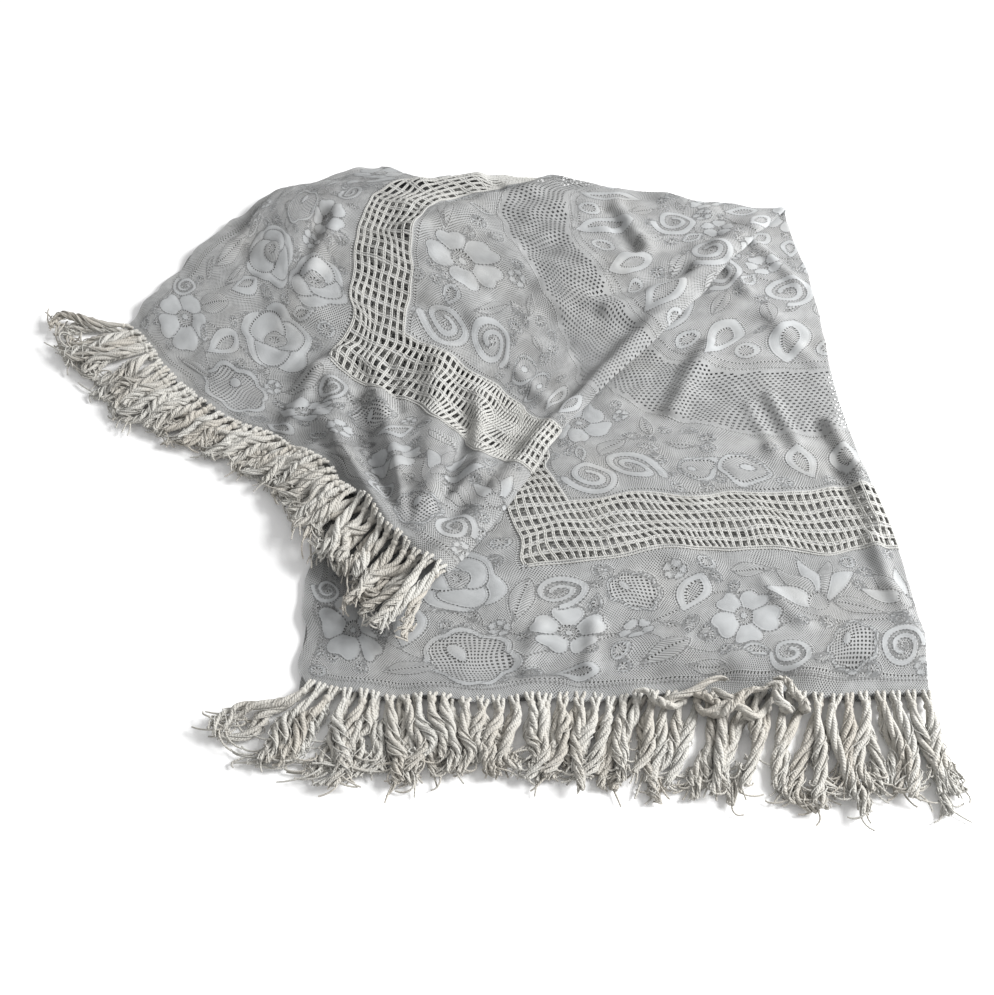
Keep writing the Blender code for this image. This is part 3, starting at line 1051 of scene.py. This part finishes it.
@dataclass(frozen=True)
class LaceCotton:
    """Machine-knitted cotton lace, washed soft: dull matt white with pierced outlines, an open ground and painted
    shade in its holes.
    """

    name: str = "lace_cotton"
    close: str = "A4A6A7"
    open: str = "A3A4A4"
    # Painted shade for the holes: the dark of the shadowed layers beneath.
    shade: str = "484744"
    warm: str = "9B9A97"
    roughness: float = 0.92
    sheen: float = 0.12
    line: float = 1.1
    reach: float = 2.9
    ground_pitch: tuple[float, float] = (3.4, 4.6)
    filet_pitch: tuple[float, float] = (5.4, 6.0)
    stripe_pitch: float = 3.4
    stitch_pitch: float = 1.9

    def material(self) -> bpy.types.Material:
        """Build the material.

        Returns:
            A Principled material that reads the cloth's attributes and its flat UV map.
        """
        made = bpy.data.materials.new(self.name)
        made.use_nodes = True
        tree = made.node_tree
        shader = tree.nodes["Principled BSDF"]
        m = Maths(tree)
        flat = node(tree, "ShaderNodeUVMap", uv_map="cloth").outputs["UV"]
        apart = node(tree, "ShaderNodeSeparateXYZ", {0: flat})
        a, b = (m.op("MULTIPLY", m.op("ABSOLUTE", apart.outputs[k]), 1000.0) for k in (0, 1))
        near, signed = m.attribute("near"), m.op("ABSOLUTE", m.attribute("signed"))
        run, dotted = m.attribute("run"), m.attribute("dotted")
        close, hatch, filet, ladder = (m.attribute(key) for key in ("close", "hatch", "filet", "ladder"))
        zone, stripe = m.attribute("zone"), m.attribute("stripe")

        beside = m.step(self.reach, self.reach - 1.2, near)
        line = m.op("MULTIPLY", m.step(self.line, self.line - 0.7, signed), beside)
        wide = m.op("MULTIPLY", m.step(self.line + 0.9, self.line, signed), beside)
        pierced = m.op("MULTIPLY", wide, m.step(0.0, 0.5, m.wave(run, 1.0)))
        plain = m.op("MULTIPLY", line, m.op("SUBTRACT", 1.0, dotted))
        pierced = m.op("MULTIPLY", pierced, m.op("MULTIPLY_ADD", m.step(0.3, 0.7, dotted), 0.5, 0.5))

        worked = m.op("MAXIMUM", m.op("MAXIMUM", close, hatch), m.op("MAXIMUM", filet, ladder))
        worked = m.op("MAXIMUM", worked, m.step(-1.0, 0.5, zone))
        ground = m.op("SUBTRACT", 1.0, m.step(0.3, 0.7, worked))
        ground = m.op("MULTIPLY", ground, m.step(1.2, 2.4, near))
        eyes = m.op("MULTIPLY", m.wave(a, self.ground_pitch[0]), m.wave(b, self.ground_pitch[1]))
        eyes = m.op("MULTIPLY", m.step(0.10, 0.60, eyes), ground)
        squares = (m.step(-0.15, 0.3, m.wave(place, pitch)) for place, pitch in zip((a, b), self.filet_pitch))
        windows = m.op("MULTIPLY", m.op("MULTIPLY", *squares), m.step(0.4, 0.7, filet))
        ribs = m.wave(stripe, self.stripe_pitch)
        slits = m.op("MULTIPLY", m.step(0.55, 0.95, ribs), m.step(0.4, 0.8, hatch))
        slits = m.op("MULTIPLY", slits, m.step(1.0, 3.0, near))

        large, worn, patch = (m.noise(flat, *kind) for kind in ((9.0, 3.0), (70.0, 4.0), (26.0, 2.0)))

        white = m.mix(m.step(0.3, 0.8, close), linear(self.open), linear(self.close))
        white = m.mix(m.op("MULTIPLY", m.step(0.45, 0.75, large), 0.55), white, linear(self.warm))
        tone = m.op("MULTIPLY_ADD", m.op("ADD", worn, large), 0.30, 0.70)
        # Plain outlines are grooves, darkened a little with painted shade.
        tone = m.op("SUBTRACT", tone, m.op("MULTIPLY", plain, 0.18))
        tone = m.op("SUBTRACT", tone, m.op("MULTIPLY", m.step(-1.0, 0.5, zone), 0.20))
        white = m.scaled(white, tone)
        # Holes, pierced outlines, eyes, filet windows and hatch slits are painted dark: painted shade of the layers
        # beneath.
        hole = m.op("MAXIMUM", pierced, m.op("MULTIPLY", eyes, m.step(0.2, 0.6, patch)))
        hole = m.op("MAXIMUM", m.op("MAXIMUM", hole, windows), m.op("MULTIPLY", slits, 0.8))
        hole = m.op("MINIMUM", hole, 1.0)
        colour = m.mix(hole, white, linear(self.shade))
        tree.links.new(colour, shader.inputs["Base Color"])
        pinholes = m.op("MULTIPLY", m.op("MAXIMUM", pierced, eyes), 0.25)
        open_work = m.op("MAXIMUM", m.op("MULTIPLY", windows, 0.8), pinholes)
        tree.links.new(m.op("SUBTRACT", 1.0, open_work), shader.inputs["Alpha"])

        stitch = m.op("MULTIPLY", m.wave(a, self.stitch_pitch), m.wave(b, self.stitch_pitch * 1.15))
        height = m.op("MULTIPLY_ADD", stitch, 0.18, m.op("MULTIPLY", worn, 0.40))
        height = m.op("SUBTRACT", height, m.op("MULTIPLY", hole, 0.8))
        height = m.op("SUBTRACT", height, m.op("MULTIPLY", plain, 0.5))
        rim = m.op("MULTIPLY", m.step(3.4, 1.6, near), m.step(0.6, 1.6, near))
        height = m.op("MULTIPLY_ADD", rim, 0.35, height)
        m.surface(shader, height, (0.0017, 0.9), self.roughness, self.sheen, 0.25)
        return made


@dataclass(frozen=True)
class SoftYarn:
    """Loosely spun cotton yarn, twisted in plies: matt and cream, with painted shade in the grooves between the plies
    and small random darker flecks.
    """

    name: str
    light: str = "BDBCB7"
    dark: str = "AEA9A0"
    # Colour of the painted shade between the plies, and of the random fuzz flecks.
    ply_shade_and_fleck: str = "918C84"
    roughness: float = 0.95
    ply_pitch: float = 4.2
    plies: float = 3.0
    sheen: float = 0.15

    def material(self) -> bpy.types.Material:
        """Build the material.

        Returns:
            A Principled material that reads the yarn's length and turn from its attributes.
        """
        made = bpy.data.materials.new(self.name)
        made.use_nodes = True
        tree = made.node_tree
        shader = tree.nodes["Principled BSDF"]
        m = Maths(tree)
        ring = node(tree, "ShaderNodeAttribute", attribute_name="ring").outputs["Vector"]
        apart = node(tree, "ShaderNodeSeparateXYZ", {0: ring})
        turn = m.op("MULTIPLY", m.op("ARCTAN2", apart.outputs[1], apart.outputs[0]), self.plies)
        place = node(tree, "ShaderNodeTexCoord").outputs["Object"]
        wander, fuzz, cloud = (m.noise(place, *kind) for kind in ((150.0, 2.0), (420.0, 3.0), (22.0, 3.0)))
        turn = m.op("MULTIPLY_ADD", wander, 7.0, turn)
        per_metre = 1000.0 * 2.0 * math.pi / self.ply_pitch
        ply = m.op("COSINE", m.op("MULTIPLY_ADD", m.attribute("along"), per_metre, turn))
        share = m.op("ADD", m.attribute("tone"), m.op("MULTIPLY_ADD", cloud, 1.2, -0.6))
        colour = m.mix(m.step(0.0, 1.0, share), linear(self.light), linear(self.dark))
        # Painted shade in the grooves between the plies, then random darker flecks where the fuzz noise is low.
        ply_shade_and_fleck_share = m.op("MULTIPLY", m.step(-0.5, -1.0, ply), 0.24)
        ply_shade_and_fleck_share = m.op("ADD", ply_shade_and_fleck_share, m.op("MULTIPLY", m.step(0.55, 0.30, fuzz), 0.35))
        colour = m.mix(ply_shade_and_fleck_share, colour, linear(self.ply_shade_and_fleck))
        tree.links.new(colour, shader.inputs["Base Color"])
        height = m.op("MULTIPLY_ADD", ply, 0.28, m.op("MULTIPLY", fuzz, 1.6))
        m.surface(shader, height, (0.0012, 0.8), self.roughness, self.sheen, 0.2)
        return made


# --- Yarn work --------------------------------------------------------------------------------------------------


@dataclass
class Strands:
    """Yarn paths and knots gathered for one piece."""

    points: list = field(default_factory=list)
    edges: list = field(default_factory=list)
    thick: list = field(default_factory=list)
    tone: list = field(default_factory=list)
    knot: list = field(default_factory=list)
    count: int = 0

    def yarn(self, path: np.ndarray, thick: np.ndarray | float, tone: float) -> None:
        """Add one yarn.

        Args:
            path: its points in metres.
            thick: its radius in metres, one or one for each point.
            tone: how dingy it is, from 0 to 1.
        """
        size = len(path)
        self.points.append(path)
        first = self.count + np.arange(size - 1)
        self.edges.append(np.stack([first, first + 1], axis=1))
        self.thick.append(np.broadcast_to(thick, size))
        self.tone.append(np.full(size, tone))
        self.knot.append(np.zeros(size))
        self.count += size

    def tie(self, place: np.ndarray, radius: float, tone: float) -> None:
        """Add one knot.

        Args:
            place: its middle in metres.
            radius: its radius in metres.
            tone: how dingy it is, from 0 to 1.
        """
        self.points.append(np.asarray(place)[None, :])
        self.thick.append(np.zeros(1))
        self.tone.append(np.full(1, tone))
        self.knot.append(np.full(1, radius))
        self.count += 1

    def mesh(self, name: str) -> bpy.types.Mesh:
        """The paths as a mesh.

        Args:
            name: the mesh's name.

        Returns:
            Edges and loose points with their attributes.
        """
        mesh = bpy.data.meshes.new(name)
        points = np.concatenate(self.points)
        edges = np.concatenate(self.edges) if self.edges else np.zeros((0, 2), dtype=int)
        mesh.vertices.add(len(points))
        mesh.vertices.foreach_set("co", points.astype(np.float32).ravel())
        mesh.edges.add(len(edges))
        mesh.edges.foreach_set("vertices", edges.astype(np.int32).ravel())
        for key, rows in (("thick", self.thick), ("tone", self.tone), ("knot", self.knot)):
            layer = mesh.attributes.new(key, "FLOAT", "POINT")
            layer.data.foreach_set("value", np.concatenate(rows).astype(np.float32))
        return mesh


class YarnTree:
    """The Geometry Nodes that turn paths into round yarn and loose points into knots."""

    def __init__(self) -> None:
        """Build the tree once for all pieces."""
        self.tree = bpy.data.node_groups.new("spun_yarn", "GeometryNodeTree")
        face = self.tree.interface
        face.new_socket("Geometry", in_out="INPUT", socket_type="NodeSocketGeometry")
        self.sides = face.new_socket("Sides", in_out="INPUT", socket_type="NodeSocketInt").identifier
        self.finish = face.new_socket("Finish", in_out="INPUT", socket_type="NodeSocketMaterial").identifier
        face.new_socket("Geometry", in_out="OUTPUT", socket_type="NodeSocketGeometry")
        tree = self.tree
        given = node(tree, "NodeGroupInput").outputs
        thick = node(tree, "GeometryNodeInputNamedAttribute", {"Name": "thick"}, data_type="FLOAT").outputs[0]
        knot = node(tree, "GeometryNodeInputNamedAttribute", {"Name": "knot"}, data_type="FLOAT").outputs[0]
        curve = node(tree, "GeometryNodeMeshToCurve", {"Mesh": given[0]}).outputs[0]
        length = node(tree, "GeometryNodeSplineParameter").outputs["Length"]
        store = {"Geometry": curve, "Name": "along", "Value": length}
        curve = node(tree, "GeometryNodeStoreNamedAttribute", store, data_type="FLOAT", domain="POINT").outputs[0]
        profile = node(tree, "GeometryNodeCurvePrimitiveCircle", {"Resolution": given[1], "Radius": 1.0}).outputs[0]
        where = node(tree, "GeometryNodeInputPosition").outputs[0]
        store = {"Geometry": profile, "Name": "ring", "Value": where}
        vector = {"data_type": "FLOAT_VECTOR", "domain": "POINT"}
        profile = node(tree, "GeometryNodeStoreNamedAttribute", store, **vector).outputs[0]
        tube = {"Curve": curve, "Profile Curve": profile, "Scale": thick, "Fill Caps": True}
        yarn = node(tree, "GeometryNodeCurveToMesh", tube).outputs[0]
        above = {"data_type": "FLOAT", "operation": "GREATER_THAN"}
        is_knot = node(tree, "FunctionNodeCompare", {0: knot, 1: 0.0}, **above).outputs[0]
        spots = node(tree, "GeometryNodeMeshToPoints", {"Mesh": given[0], "Selection": is_knot}).outputs[0]
        ball = node(tree, "GeometryNodeMeshIcoSphere", {"Radius": 1.0, "Subdivisions": 2}).outputs[0]
        size = node(tree, "ShaderNodeCombineXYZ", {0: knot, 1: knot, 2: knot}).outputs[0]
        spread = {"Points": spots, "Instance": ball, "Scale": size}
        knots = node(tree, "GeometryNodeInstanceOnPoints", spread).outputs[0]
        knots = node(tree, "GeometryNodeRealizeInstances", {0: knots}).outputs[0]
        joined = node(tree, "GeometryNodeJoinGeometry")
        tree.links.new(yarn, joined.inputs[0])
        tree.links.new(knots, joined.inputs[0])
        soft = node(tree, "GeometryNodeSetShadeSmooth", {0: joined.outputs[0]}).outputs[0]
        dressed = node(tree, "GeometryNodeSetMaterial", {"Geometry": soft, "Material": given[2]}).outputs[0]
        real = node(tree, "GeometryNodeRealizeInstances", {0: dressed}).outputs[0]
        node(tree, "NodeGroupOutput", {0: real})

    def spin(self, strands: Strands, name: str, finish: bpy.types.Material, sides: int = 5) -> bpy.types.Object:
        """Turn gathered strands into one plain mesh object.

        Args:
            strands: the yarns and knots.
            name: the piece's name.
            finish: the yarn's material.
            sides: how many sides each yarn has.

        Returns:
            The finished object, linked to the scene.
        """
        rough = bpy.data.objects.new(name + "_paths", strands.mesh(name + "_paths"))
        bpy.context.scene.collection.objects.link(rough)
        work = rough.modifiers.new("yarn", "NODES")
        work.node_group = self.tree
        work[self.sides] = sides
        work[self.finish] = finish
        bpy.context.view_layer.update()
        drawn = rough.evaluated_get(bpy.context.evaluated_depsgraph_get())
        mesh = bpy.data.meshes.new_from_object(drawn)
        mesh.name = name
        piece = bpy.data.objects.new(name, mesh)
        bpy.context.scene.collection.objects.link(piece)
        bpy.data.objects.remove(rough)
        return piece


# --- The cloth --------------------------------------------------------------------------------------------------


@dataclass
class ClothQuarter:
    """One quarter of the bedspread, from the middle to a side hem and a fringe edge."""

    laying: Laying
    design: LaceDesign
    side: float
    half: Half
    relief: float = 0.0019
    mesh_rim: float = 3.0
    cord: float = 0.0016
    cord_tone: float = 0.35
    row_offset: float = 2.3
    column_offset: float = 1.1

    @property
    def name(self) -> str:
        """The piece's name."""
        return f"lace_{self.half.name.lower()}_{'left' if self.side < 0 else 'right'}"

    def flat(self) -> tuple[np.ndarray, np.ndarray]:
        """The quarter's own flat coordinates in metres."""
        return self.side * self.design.grid_a * MM, self.half.value * self.design.grid_b * MM

    def points(self) -> np.ndarray:
        """The laid grid, raised where the motifs are worked close.

        Returns:
            The points, with x, y and z on the last axis.
        """
        laid = self.laying.place(*self.flat())
        across, along = np.gradient(laid, axis=1), np.gradient(laid, axis=0)
        normal = np.cross(across, along) * self.side * self.half.value
        normal /= np.maximum(np.linalg.norm(normal, axis=-1, keepdims=True), 1e-12)
        return laid + normal * (self.relief * self.design.relief)[..., None]

    def kept_faces(self) -> np.ndarray:
        """Which cells of the grid are cloth: all but the openings of the ladder and of the mesh.

        Returns:
            True for each cell that is kept.
        """
        d = self.design
        row, column = np.meshgrid(np.arange(d.along), np.arange(d.across), indexing="ij")
        zone = d.mesh_zone > self.mesh_rim
        inside = zone[:-1, :-1] & zone[1:, 1:] & zone[1:, :-1] & zone[:-1, 1:]
        eyelet = ((column % 2 == 0) & (row % 4 == 0)) | ((column % 2 == 1) & (row % 4 == 2))
        (leg0, leg1), (band0, band1) = d.ladder_cells()
        in_leg = (column >= leg0) & (column < leg1) & (row < band1)
        in_band = (row >= band0) & (row < band1) & (column < leg1)
        bar = (column - leg0) % d.column_cells != 0
        rung = (row - band0) % d.row_cells >= 2
        return ~((inside & eyelet) | ((in_leg | in_band) & bar & rung))

    def build(self, finish: bpy.types.Material) -> bpy.types.Object:
        """Make the quarter's mesh.

        Args:
            finish: the lace material.

        Returns:
            The piece, linked to the scene.
        """
        d = self.design
        points = self.points()
        stride = d.across + 1
        row, column = np.nonzero(self.kept_faces())
        first = row * stride + column
        corners = np.stack([first, first + 1, first + stride + 1, first + stride], axis=1)
        if self.side * self.half.value < 0.0:
            corners = corners[:, ::-1]
        mesh = bpy.data.meshes.new(self.name)
        mesh.from_pydata(points.reshape(-1, 3).tolist(), [], corners.tolist())
        masks = {
            "near": d.near,
            "signed": d.signed,
            "run": d.run,
            "dotted": d.dotted,
            "zone": d.mesh_zone,
            "stripe": d.stripe,
            "ladder": d.ladder.astype(float),
            "close": (d.fill == Fill.CLOSE.value).astype(float),
            "hatch": (d.fill == Fill.HATCH.value).astype(float),
            "filet": (d.fill == Fill.FILET.value).astype(float),
        }
        for key, values in masks.items():
            layer = mesh.attributes.new(key, "FLOAT", "POINT")
            layer.data.foreach_set("value", values.astype(np.float32).ravel())
        s, t = self.flat()
        flat = np.stack([s, t], axis=-1).reshape(-1, 2)
        chart = mesh.uv_layers.new(name="cloth")
        chart.data.foreach_set("uv", flat[corners.ravel()].astype(np.float32).ravel())
        mesh.polygons.foreach_set("use_smooth", np.ones(len(corners), dtype=bool))
        mesh.materials.append(finish)
        mesh.update()
        piece = bpy.data.objects.new(self.name, mesh)
        bpy.context.scene.collection.objects.link(piece)
        return piece

    def ladder_cords(self) -> Strands:
        """Round cotton cords along the bars of the ladder.

        Returns:
            The cords.
        """
        d = self.design
        strands = Strands()
        (leg0, leg1), (band0, band1) = d.ladder_cells()
        cell_a, cell_b = d.ladder_column / d.column_cells, d.ladder_row / d.row_cells

        def lay_cord(a: np.ndarray, b: np.ndarray) -> None:
            """Lay one cord through points given in millimetres from the middle."""
            spot = self.laying.place(self.side * a * MM, self.half.value * b * MM)
            strands.yarn(spot, self.cord, self.cord_tone)

        for row in range(0, band1 + 1, d.row_cells):
            b = row * d.ladder_row / d.row_cells + cell_b
            a = np.arange(0.0 if row >= band0 else d.leg[0], d.leg[1] + 0.1, cell_a)
            for offset in (-self.row_offset, self.row_offset):
                lay_cord(a, np.full_like(a, min(b + offset, d.half_length)))
        for column in range(0, leg1 + 1, d.column_cells):
            a = column * d.ladder_column / d.column_cells + 0.5 * cell_a
            b = np.arange(d.band[0] if column < leg0 else 0.0, d.band[1] + 3.0, 3.333)
            for offset in (-self.column_offset, self.column_offset):
                lay_cord(np.full_like(b, max(a + offset, 0.0)), b)
        return strands


# Degrees that the tassels splay at a distance in metres from the lengthwise fold.
NEAR_FAN = ((0, 4), (0.10, 6), (0.20, -8), (0.45, -4), (0.70, -8), (0.80, -26), (0.88, -66))
FAR_FAN = ((0, 0), (0.12, 16), (0.35, 8), (0.60, 2), (0.76, -8), (0.82, -30), (0.88, -66))


def swung(points: np.ndarray, pivot: np.ndarray, angle: np.ndarray | float) -> np.ndarray:
    """Turn floor points about a pivot and keep their heights.

    Args:
        points: x, y and z of each point.
        pivot: x and y of the pivot, one or one for each point.
        angle: radians, one or one for each point.

    Returns:
        The turned points.
    """
    dx, dy = points[..., 0] - pivot[..., 0], points[..., 1] - pivot[..., 1]
    x = pivot[..., 0] + dx * np.cos(angle) - dy * np.sin(angle)
    y = pivot[..., 1] + dx * np.sin(angle) + dy * np.cos(angle)
    return np.stack([x, y, points[..., 2]], axis=-1)


@dataclass
class Fringe:
    """The knotted fringe at one end of the bedspread, in two pieces either side of the lengthwise fold."""

    laying: Laying
    half: Half
    fan: tuple
    tassels: int = 42
    length: float = 0.163
    heading: float = 0.017
    twist: float = 0.105
    ply: float = 0.0041
    ply_reach: float = 0.0037
    hair: float = 0.0009
    hair_reach: float = 0.0068
    neck: float = 0.0031
    knot: float = 0.0058
    inset: float = 0.004
    steps: int = 26
    swept: tuple[float, float] = (0.17, 0.37)
    swept_share: float = 0.6
    end: float = 0.0016
    ends: int = 8
    end_steps: int = 9
    seed: int = 5

    def root(self, a: np.ndarray, side: float, out: np.ndarray, loft: np.ndarray | float = 0.0) -> np.ndarray:
        """Where a point of the fringe lies.

        Args:
            a: distance from the lengthwise fold along the edge.
            side: which side of that fold.
            out: distance out from the cloth's edge.
            loft: how far it is raised.

        Returns:
            The points.
        """
        s = side * a
        edge = self.half.value * self.laying.length / 2.0
        base = self.laying.place(s, np.full_like(s, edge))
        far = self.laying.place(s, edge + self.half.value * out)
        angle = np.radians(np.interp(a, [row[0] for row in self.fan], [row[1] for row in self.fan]))
        points = swung(far, base, angle)
        points[..., 2] = far[..., 2] + 0.0005 + loft
        return points

    def strands(self, side: float) -> Strands:
        """All the tassels on one side of the lengthwise fold.

        Args:
            side: -1 or 1.

        Returns:
            Their yarns and knots.
        """
        rng = np.random.default_rng(self.seed + (10 if side > 0 else 0) + (100 if self.half is Half.FAR else 0))
        strands = Strands()
        pitch = self.laying.width / 2.0 / self.tassels
        for index in range(self.tassels):
            self.tassel(strands, side, (index + 0.5) * pitch, pitch, rng)
        return strands

    def tassel(self, strands: Strands, side: float, a: float, pitch: float, rng: np.random.Generator) -> None:
        """One tassel: two cords from the edge to a knot, a twisted body and loose ends.

        Args:
            strands: where its yarns are gathered.
            side: which side of the lengthwise fold.
            a: its distance from that fold.
            pitch: the distance between tassels.
            rng: the random draws.
        """
        a = a + rng.normal(0.0, 0.0012)
        tone = float(np.clip(rng.normal(0.45, 0.22), 0.0, 1.0))
        lean = rng.normal(0.0, 6.5) + 6.0 * math.sin(a * 105.0)
        length = self.length * rng.uniform(0.82, 1.05)
        bend = rng.normal(0.0, 0.016)
        knot = np.array([a + rng.normal(0.0, 0.001)])
        tie = self.root(knot, side, np.array([self.heading]), 0.004)[0]
        for offset in (-0.21 * pitch, 0.21 * pitch):
            out = np.linspace(-self.inset, self.heading, 6)
            share = (out + self.inset) / (self.heading + self.inset)
            loft = 0.0035 + 0.0015 * np.sin(math.pi * share)
            strands.yarn(self.root(a + offset * (1.0 - share**1.5), side, out, loft), self.neck, tone * 0.7)
        strands.tie(tie, self.knot * rng.uniform(0.85, 1.15), tone)
        u = np.linspace(0.0, 1.0, self.steps)
        out = self.heading + u * (length - self.heading)
        sway = bend * np.sin(math.pi * u) + rng.normal(0.0, 0.004) * np.sin(2.0 * math.pi * u)
        middle_a = knot[0] + sway * u
        twist = rng.uniform(0.0, 2.0 * math.pi) + u * length / self.twist * 2.0 * math.pi * rng.choice([-1.0, 1.0])
        body = np.minimum(1.0, 0.35 + 2.5 * u) * (1.0 + 0.25 * np.sin(math.pi * u))
        body = body * (1.0 + 0.18 * np.sin(9.0 * u + rng.uniform(0.0, 6.0)))
        raised = np.zeros(self.steps)
        tucked = self.half is Half.NEAR and side < 0.0 and self.swept[0] < a < self.swept[1]
        tucked = tucked and rng.uniform() < self.swept_share
        if tucked:
            turn_out = 0.022 * np.sin(math.pi * np.minimum(1.3 * u, 1.0))
            out = self.heading + rng.uniform(0.4, 1.3) * turn_out - rng.uniform(0.002, 0.034) * smooth(0.2, 1.0, u)
            out = out + rng.uniform(0.002, 0.006) * np.sin(rng.uniform(7.0, 13.0) * u)
            aside = rng.choice([-1.0, 1.0]) * rng.uniform(0.03, 0.10)
            middle_a = middle_a + aside * u ** rng.uniform(0.9, 1.6)
            raised = rng.uniform(0.008, 0.018) * smooth(0.10, 0.5, u)
            lean = 0.0
        for ply in range(3):
            phase = twist + 2.0 * math.pi * ply / 3.0
            reach = self.ply_reach * body
            loft = 0.0056 + reach * 0.8 * np.sin(phase) - 0.0010 * u + raised
            path = self.leaning(middle_a + reach * np.cos(phase), side, out, lean * u, loft)
            strands.yarn(path, self.ply * np.minimum(1.0, 0.6 + 2.0 * u) * (1.0 - 0.45 * u**4), tone)
        for hair in range(4):
            phase = twist * 1.4 + hair * 1.7
            reach = self.hair_reach * body * rng.uniform(0.8, 1.1)
            path_a = middle_a + reach * np.cos(phase) + rng.normal(0.0, 0.0005, self.steps)
            loft = 0.0058 + reach * 0.72 * np.sin(phase) + raised
            path = self.leaning(path_a, side, out, lean * u, np.maximum(loft, 0.0012))
            strands.yarn(path, self.hair, tone * 0.8)
        if not tucked:
            self.loose_ends(strands, side, (middle_a[-1], out[-1]), lean, tone, rng)

    def leaning(self, a: np.ndarray, side: float, out: np.ndarray, lean: np.ndarray, loft: np.ndarray) -> np.ndarray:
        """Points of the fringe with a lean of their own each, about the knot.

        Args:
            a: distance from the lengthwise fold along the edge.
            side: which side of that fold.
            out: distance out from the cloth's edge.
            lean: degrees that each point is turned.
            loft: how far each is raised.

        Returns:
            The points.
        """
        plain = self.root(a, side, out)
        plain[..., 2] += loft
        return swung(plain, plain[0, :2], np.radians(lean))

    def loose_ends(
        self,
        strands: Strands,
        side: float,
        tip: tuple[float, float],
        lean: float,
        tone: float,
        rng: np.random.Generator,
    ) -> None:
        """The thin cords that spread and curl where a tassel ends.

        Args:
            strands: where they are gathered.
            side: which side of the lengthwise fold.
            tip: the tip's distance from that fold and out from the cloth's edge.
            lean: degrees that the tassel leans.
            tone: how dingy the tassel is.
            rng: the random draws.
        """
        a, out = tip
        u = np.linspace(0.0, 1.0, self.end_steps)
        for _ in range(self.ends):
            start = out - rng.uniform(0.010, 0.045)
            step = rng.uniform(0.016, 0.042) / (self.end_steps - 1)
            direction = (rng.normal(0.0, 0.55) + rng.normal(0.0, 2.6) * u)[:-1]
            path_out = start + np.concatenate([[0.0], np.cumsum(np.cos(direction) * step)])
            path_a = a + rng.normal(0.0, 0.003) + np.concatenate([[0.0], np.cumsum(np.sin(direction) * step)])
            fall, hump = 0.006 * rng.uniform(0.2, 1.2), rng.uniform(0.0, 0.004)
            path = self.root(path_a, side, path_out)
            path[:, 2] += np.maximum(0.0013, fall * (1.0 - u) + hump * np.sin(math.pi * u))
            base = self.root(np.full(self.end_steps, a), side, np.full(self.end_steps, self.heading))[0]
            strands.yarn(swung(path, base, math.radians(lean)), self.end * (1.0 - 0.25 * u), min(tone + 0.1, 1.0))


# --- The studio -------------------------------------------------------------------------------------------------


@dataclass
class Studio:
    """A plain pale floor, soft light and the camera."""

    camera_at: tuple[float, float, float] = (0.08892204, -1.11421858, 1.3)
    tilt: float = math.radians(36.0)
    lens: float = 36.2
    key_at: tuple[float, float, float] = (3.5, 0.3, 2.2)
    key_size: float = 1.8
    key_power: float = 330.0
    fill: float = 0.60
    floor_colour: str = "FFFFFF"
    floor_half: float = 6.0
    floor_z: float = -0.0008

    def build(self) -> None:
        """Make the floor, the world's light, the key light and the camera."""
        mesh = bpy.data.meshes.new("studio_floor")
        signs = ((-1, -1), (1, -1), (1, 1), (-1, 1))
        corners = [(x * self.floor_half, y * self.floor_half, self.floor_z) for x, y in signs]
        mesh.from_pydata(corners, [], [(0, 1, 2, 3)])
        paper = bpy.data.materials.new("studio_paper")
        paper.use_nodes = True
        matt = paper.node_tree.nodes["Principled BSDF"].inputs
        matt["Base Color"].default_value = linear(self.floor_colour)
        matt["Roughness"].default_value = 1.0
        mesh.materials.append(paper)
        floor = bpy.data.objects.new("studio_floor", mesh)
        bpy.context.scene.collection.objects.link(floor)
        world = bpy.data.worlds.new("studio")
        world.use_nodes = True
        sky = world.node_tree.nodes["Background"].inputs
        sky["Color"].default_value = (1.0, 1.0, 1.0, 1.0)
        sky["Strength"].default_value = self.fill
        bpy.context.scene.world = world
        light = bpy.data.lights.new("key", "AREA")
        light.energy, light.size = self.key_power, self.key_size
        key = bpy.data.objects.new("key", light)
        key.location = self.key_at
        key.rotation_euler = (-Vector(self.key_at)).to_track_quat("-Z", "Y").to_euler()
        bpy.context.scene.collection.objects.link(key)
        view = bpy.data.cameras.new("camera")
        view.lens, view.sensor_width = self.lens, 36.0
        camera = bpy.data.objects.new("camera", view)
        camera.location = self.camera_at
        camera.rotation_euler = (self.tilt, 0.0, 0.0)
        bpy.context.scene.collection.objects.link(camera)
        bpy.context.scene.camera = camera
        bpy.context.scene.view_settings.view_transform = "Standard"


def attach(piece: bpy.types.Object, name: str) -> None:
    """Let a finished piece ride on the bedspread and stand for one solid.

    Args:
        piece: the piece.
        name: the solid that it stands for.
    """
    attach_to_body(piece, "root")
    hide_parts(name)
    piece.data.calc_loop_triangles()
    log.info("%s: %d triangles", piece.name, len(piece.data.loop_triangles))


def main() -> None:
    """Build the bedspread and its studio."""
    logging.basicConfig(level=logging.INFO)
    Studio().build()
    laying = Laying(creases=CREASES)
    design = LaceDesign()
    spinner = YarnTree()
    lace = LaceCotton().material()
    # The cord's third colour paints the shade between its plies and its fuzz flecks.
    cord = SoftYarn("ladder_cotton", light="B8B8B5", dark="AFAEA9", ply_shade_and_fleck="96948F", ply_pitch=7.0).material()
    for half, fan in ((Half.NEAR, NEAR_FAN), (Half.FAR, FAR_FAN)):
        fringe_name = f"{half.name.lower()}_fringe"
        yarn = SoftYarn(fringe_name + "_yarn").material()
        fringe = Fringe(laying, half, fan)
        for side in (-1.0, 1.0):
            quarter = ClothQuarter(laying, design, side, half)
            cloth = quarter.build(lace)
            attach(cloth, "lace_cloth")
            cords = spinner.spin(quarter.ladder_cords(), quarter.name.replace("lace", "ladder"), cord)
            attach(cords, "lace_cloth")
            hand = quarter.name.rsplit("_", 1)[1]
            tassels = spinner.spin(fringe.strands(side), f"{fringe_name}_{hand}", yarn, sides=6)
            attach(tassels, fringe_name)


if __name__ == "__main__":
    main()
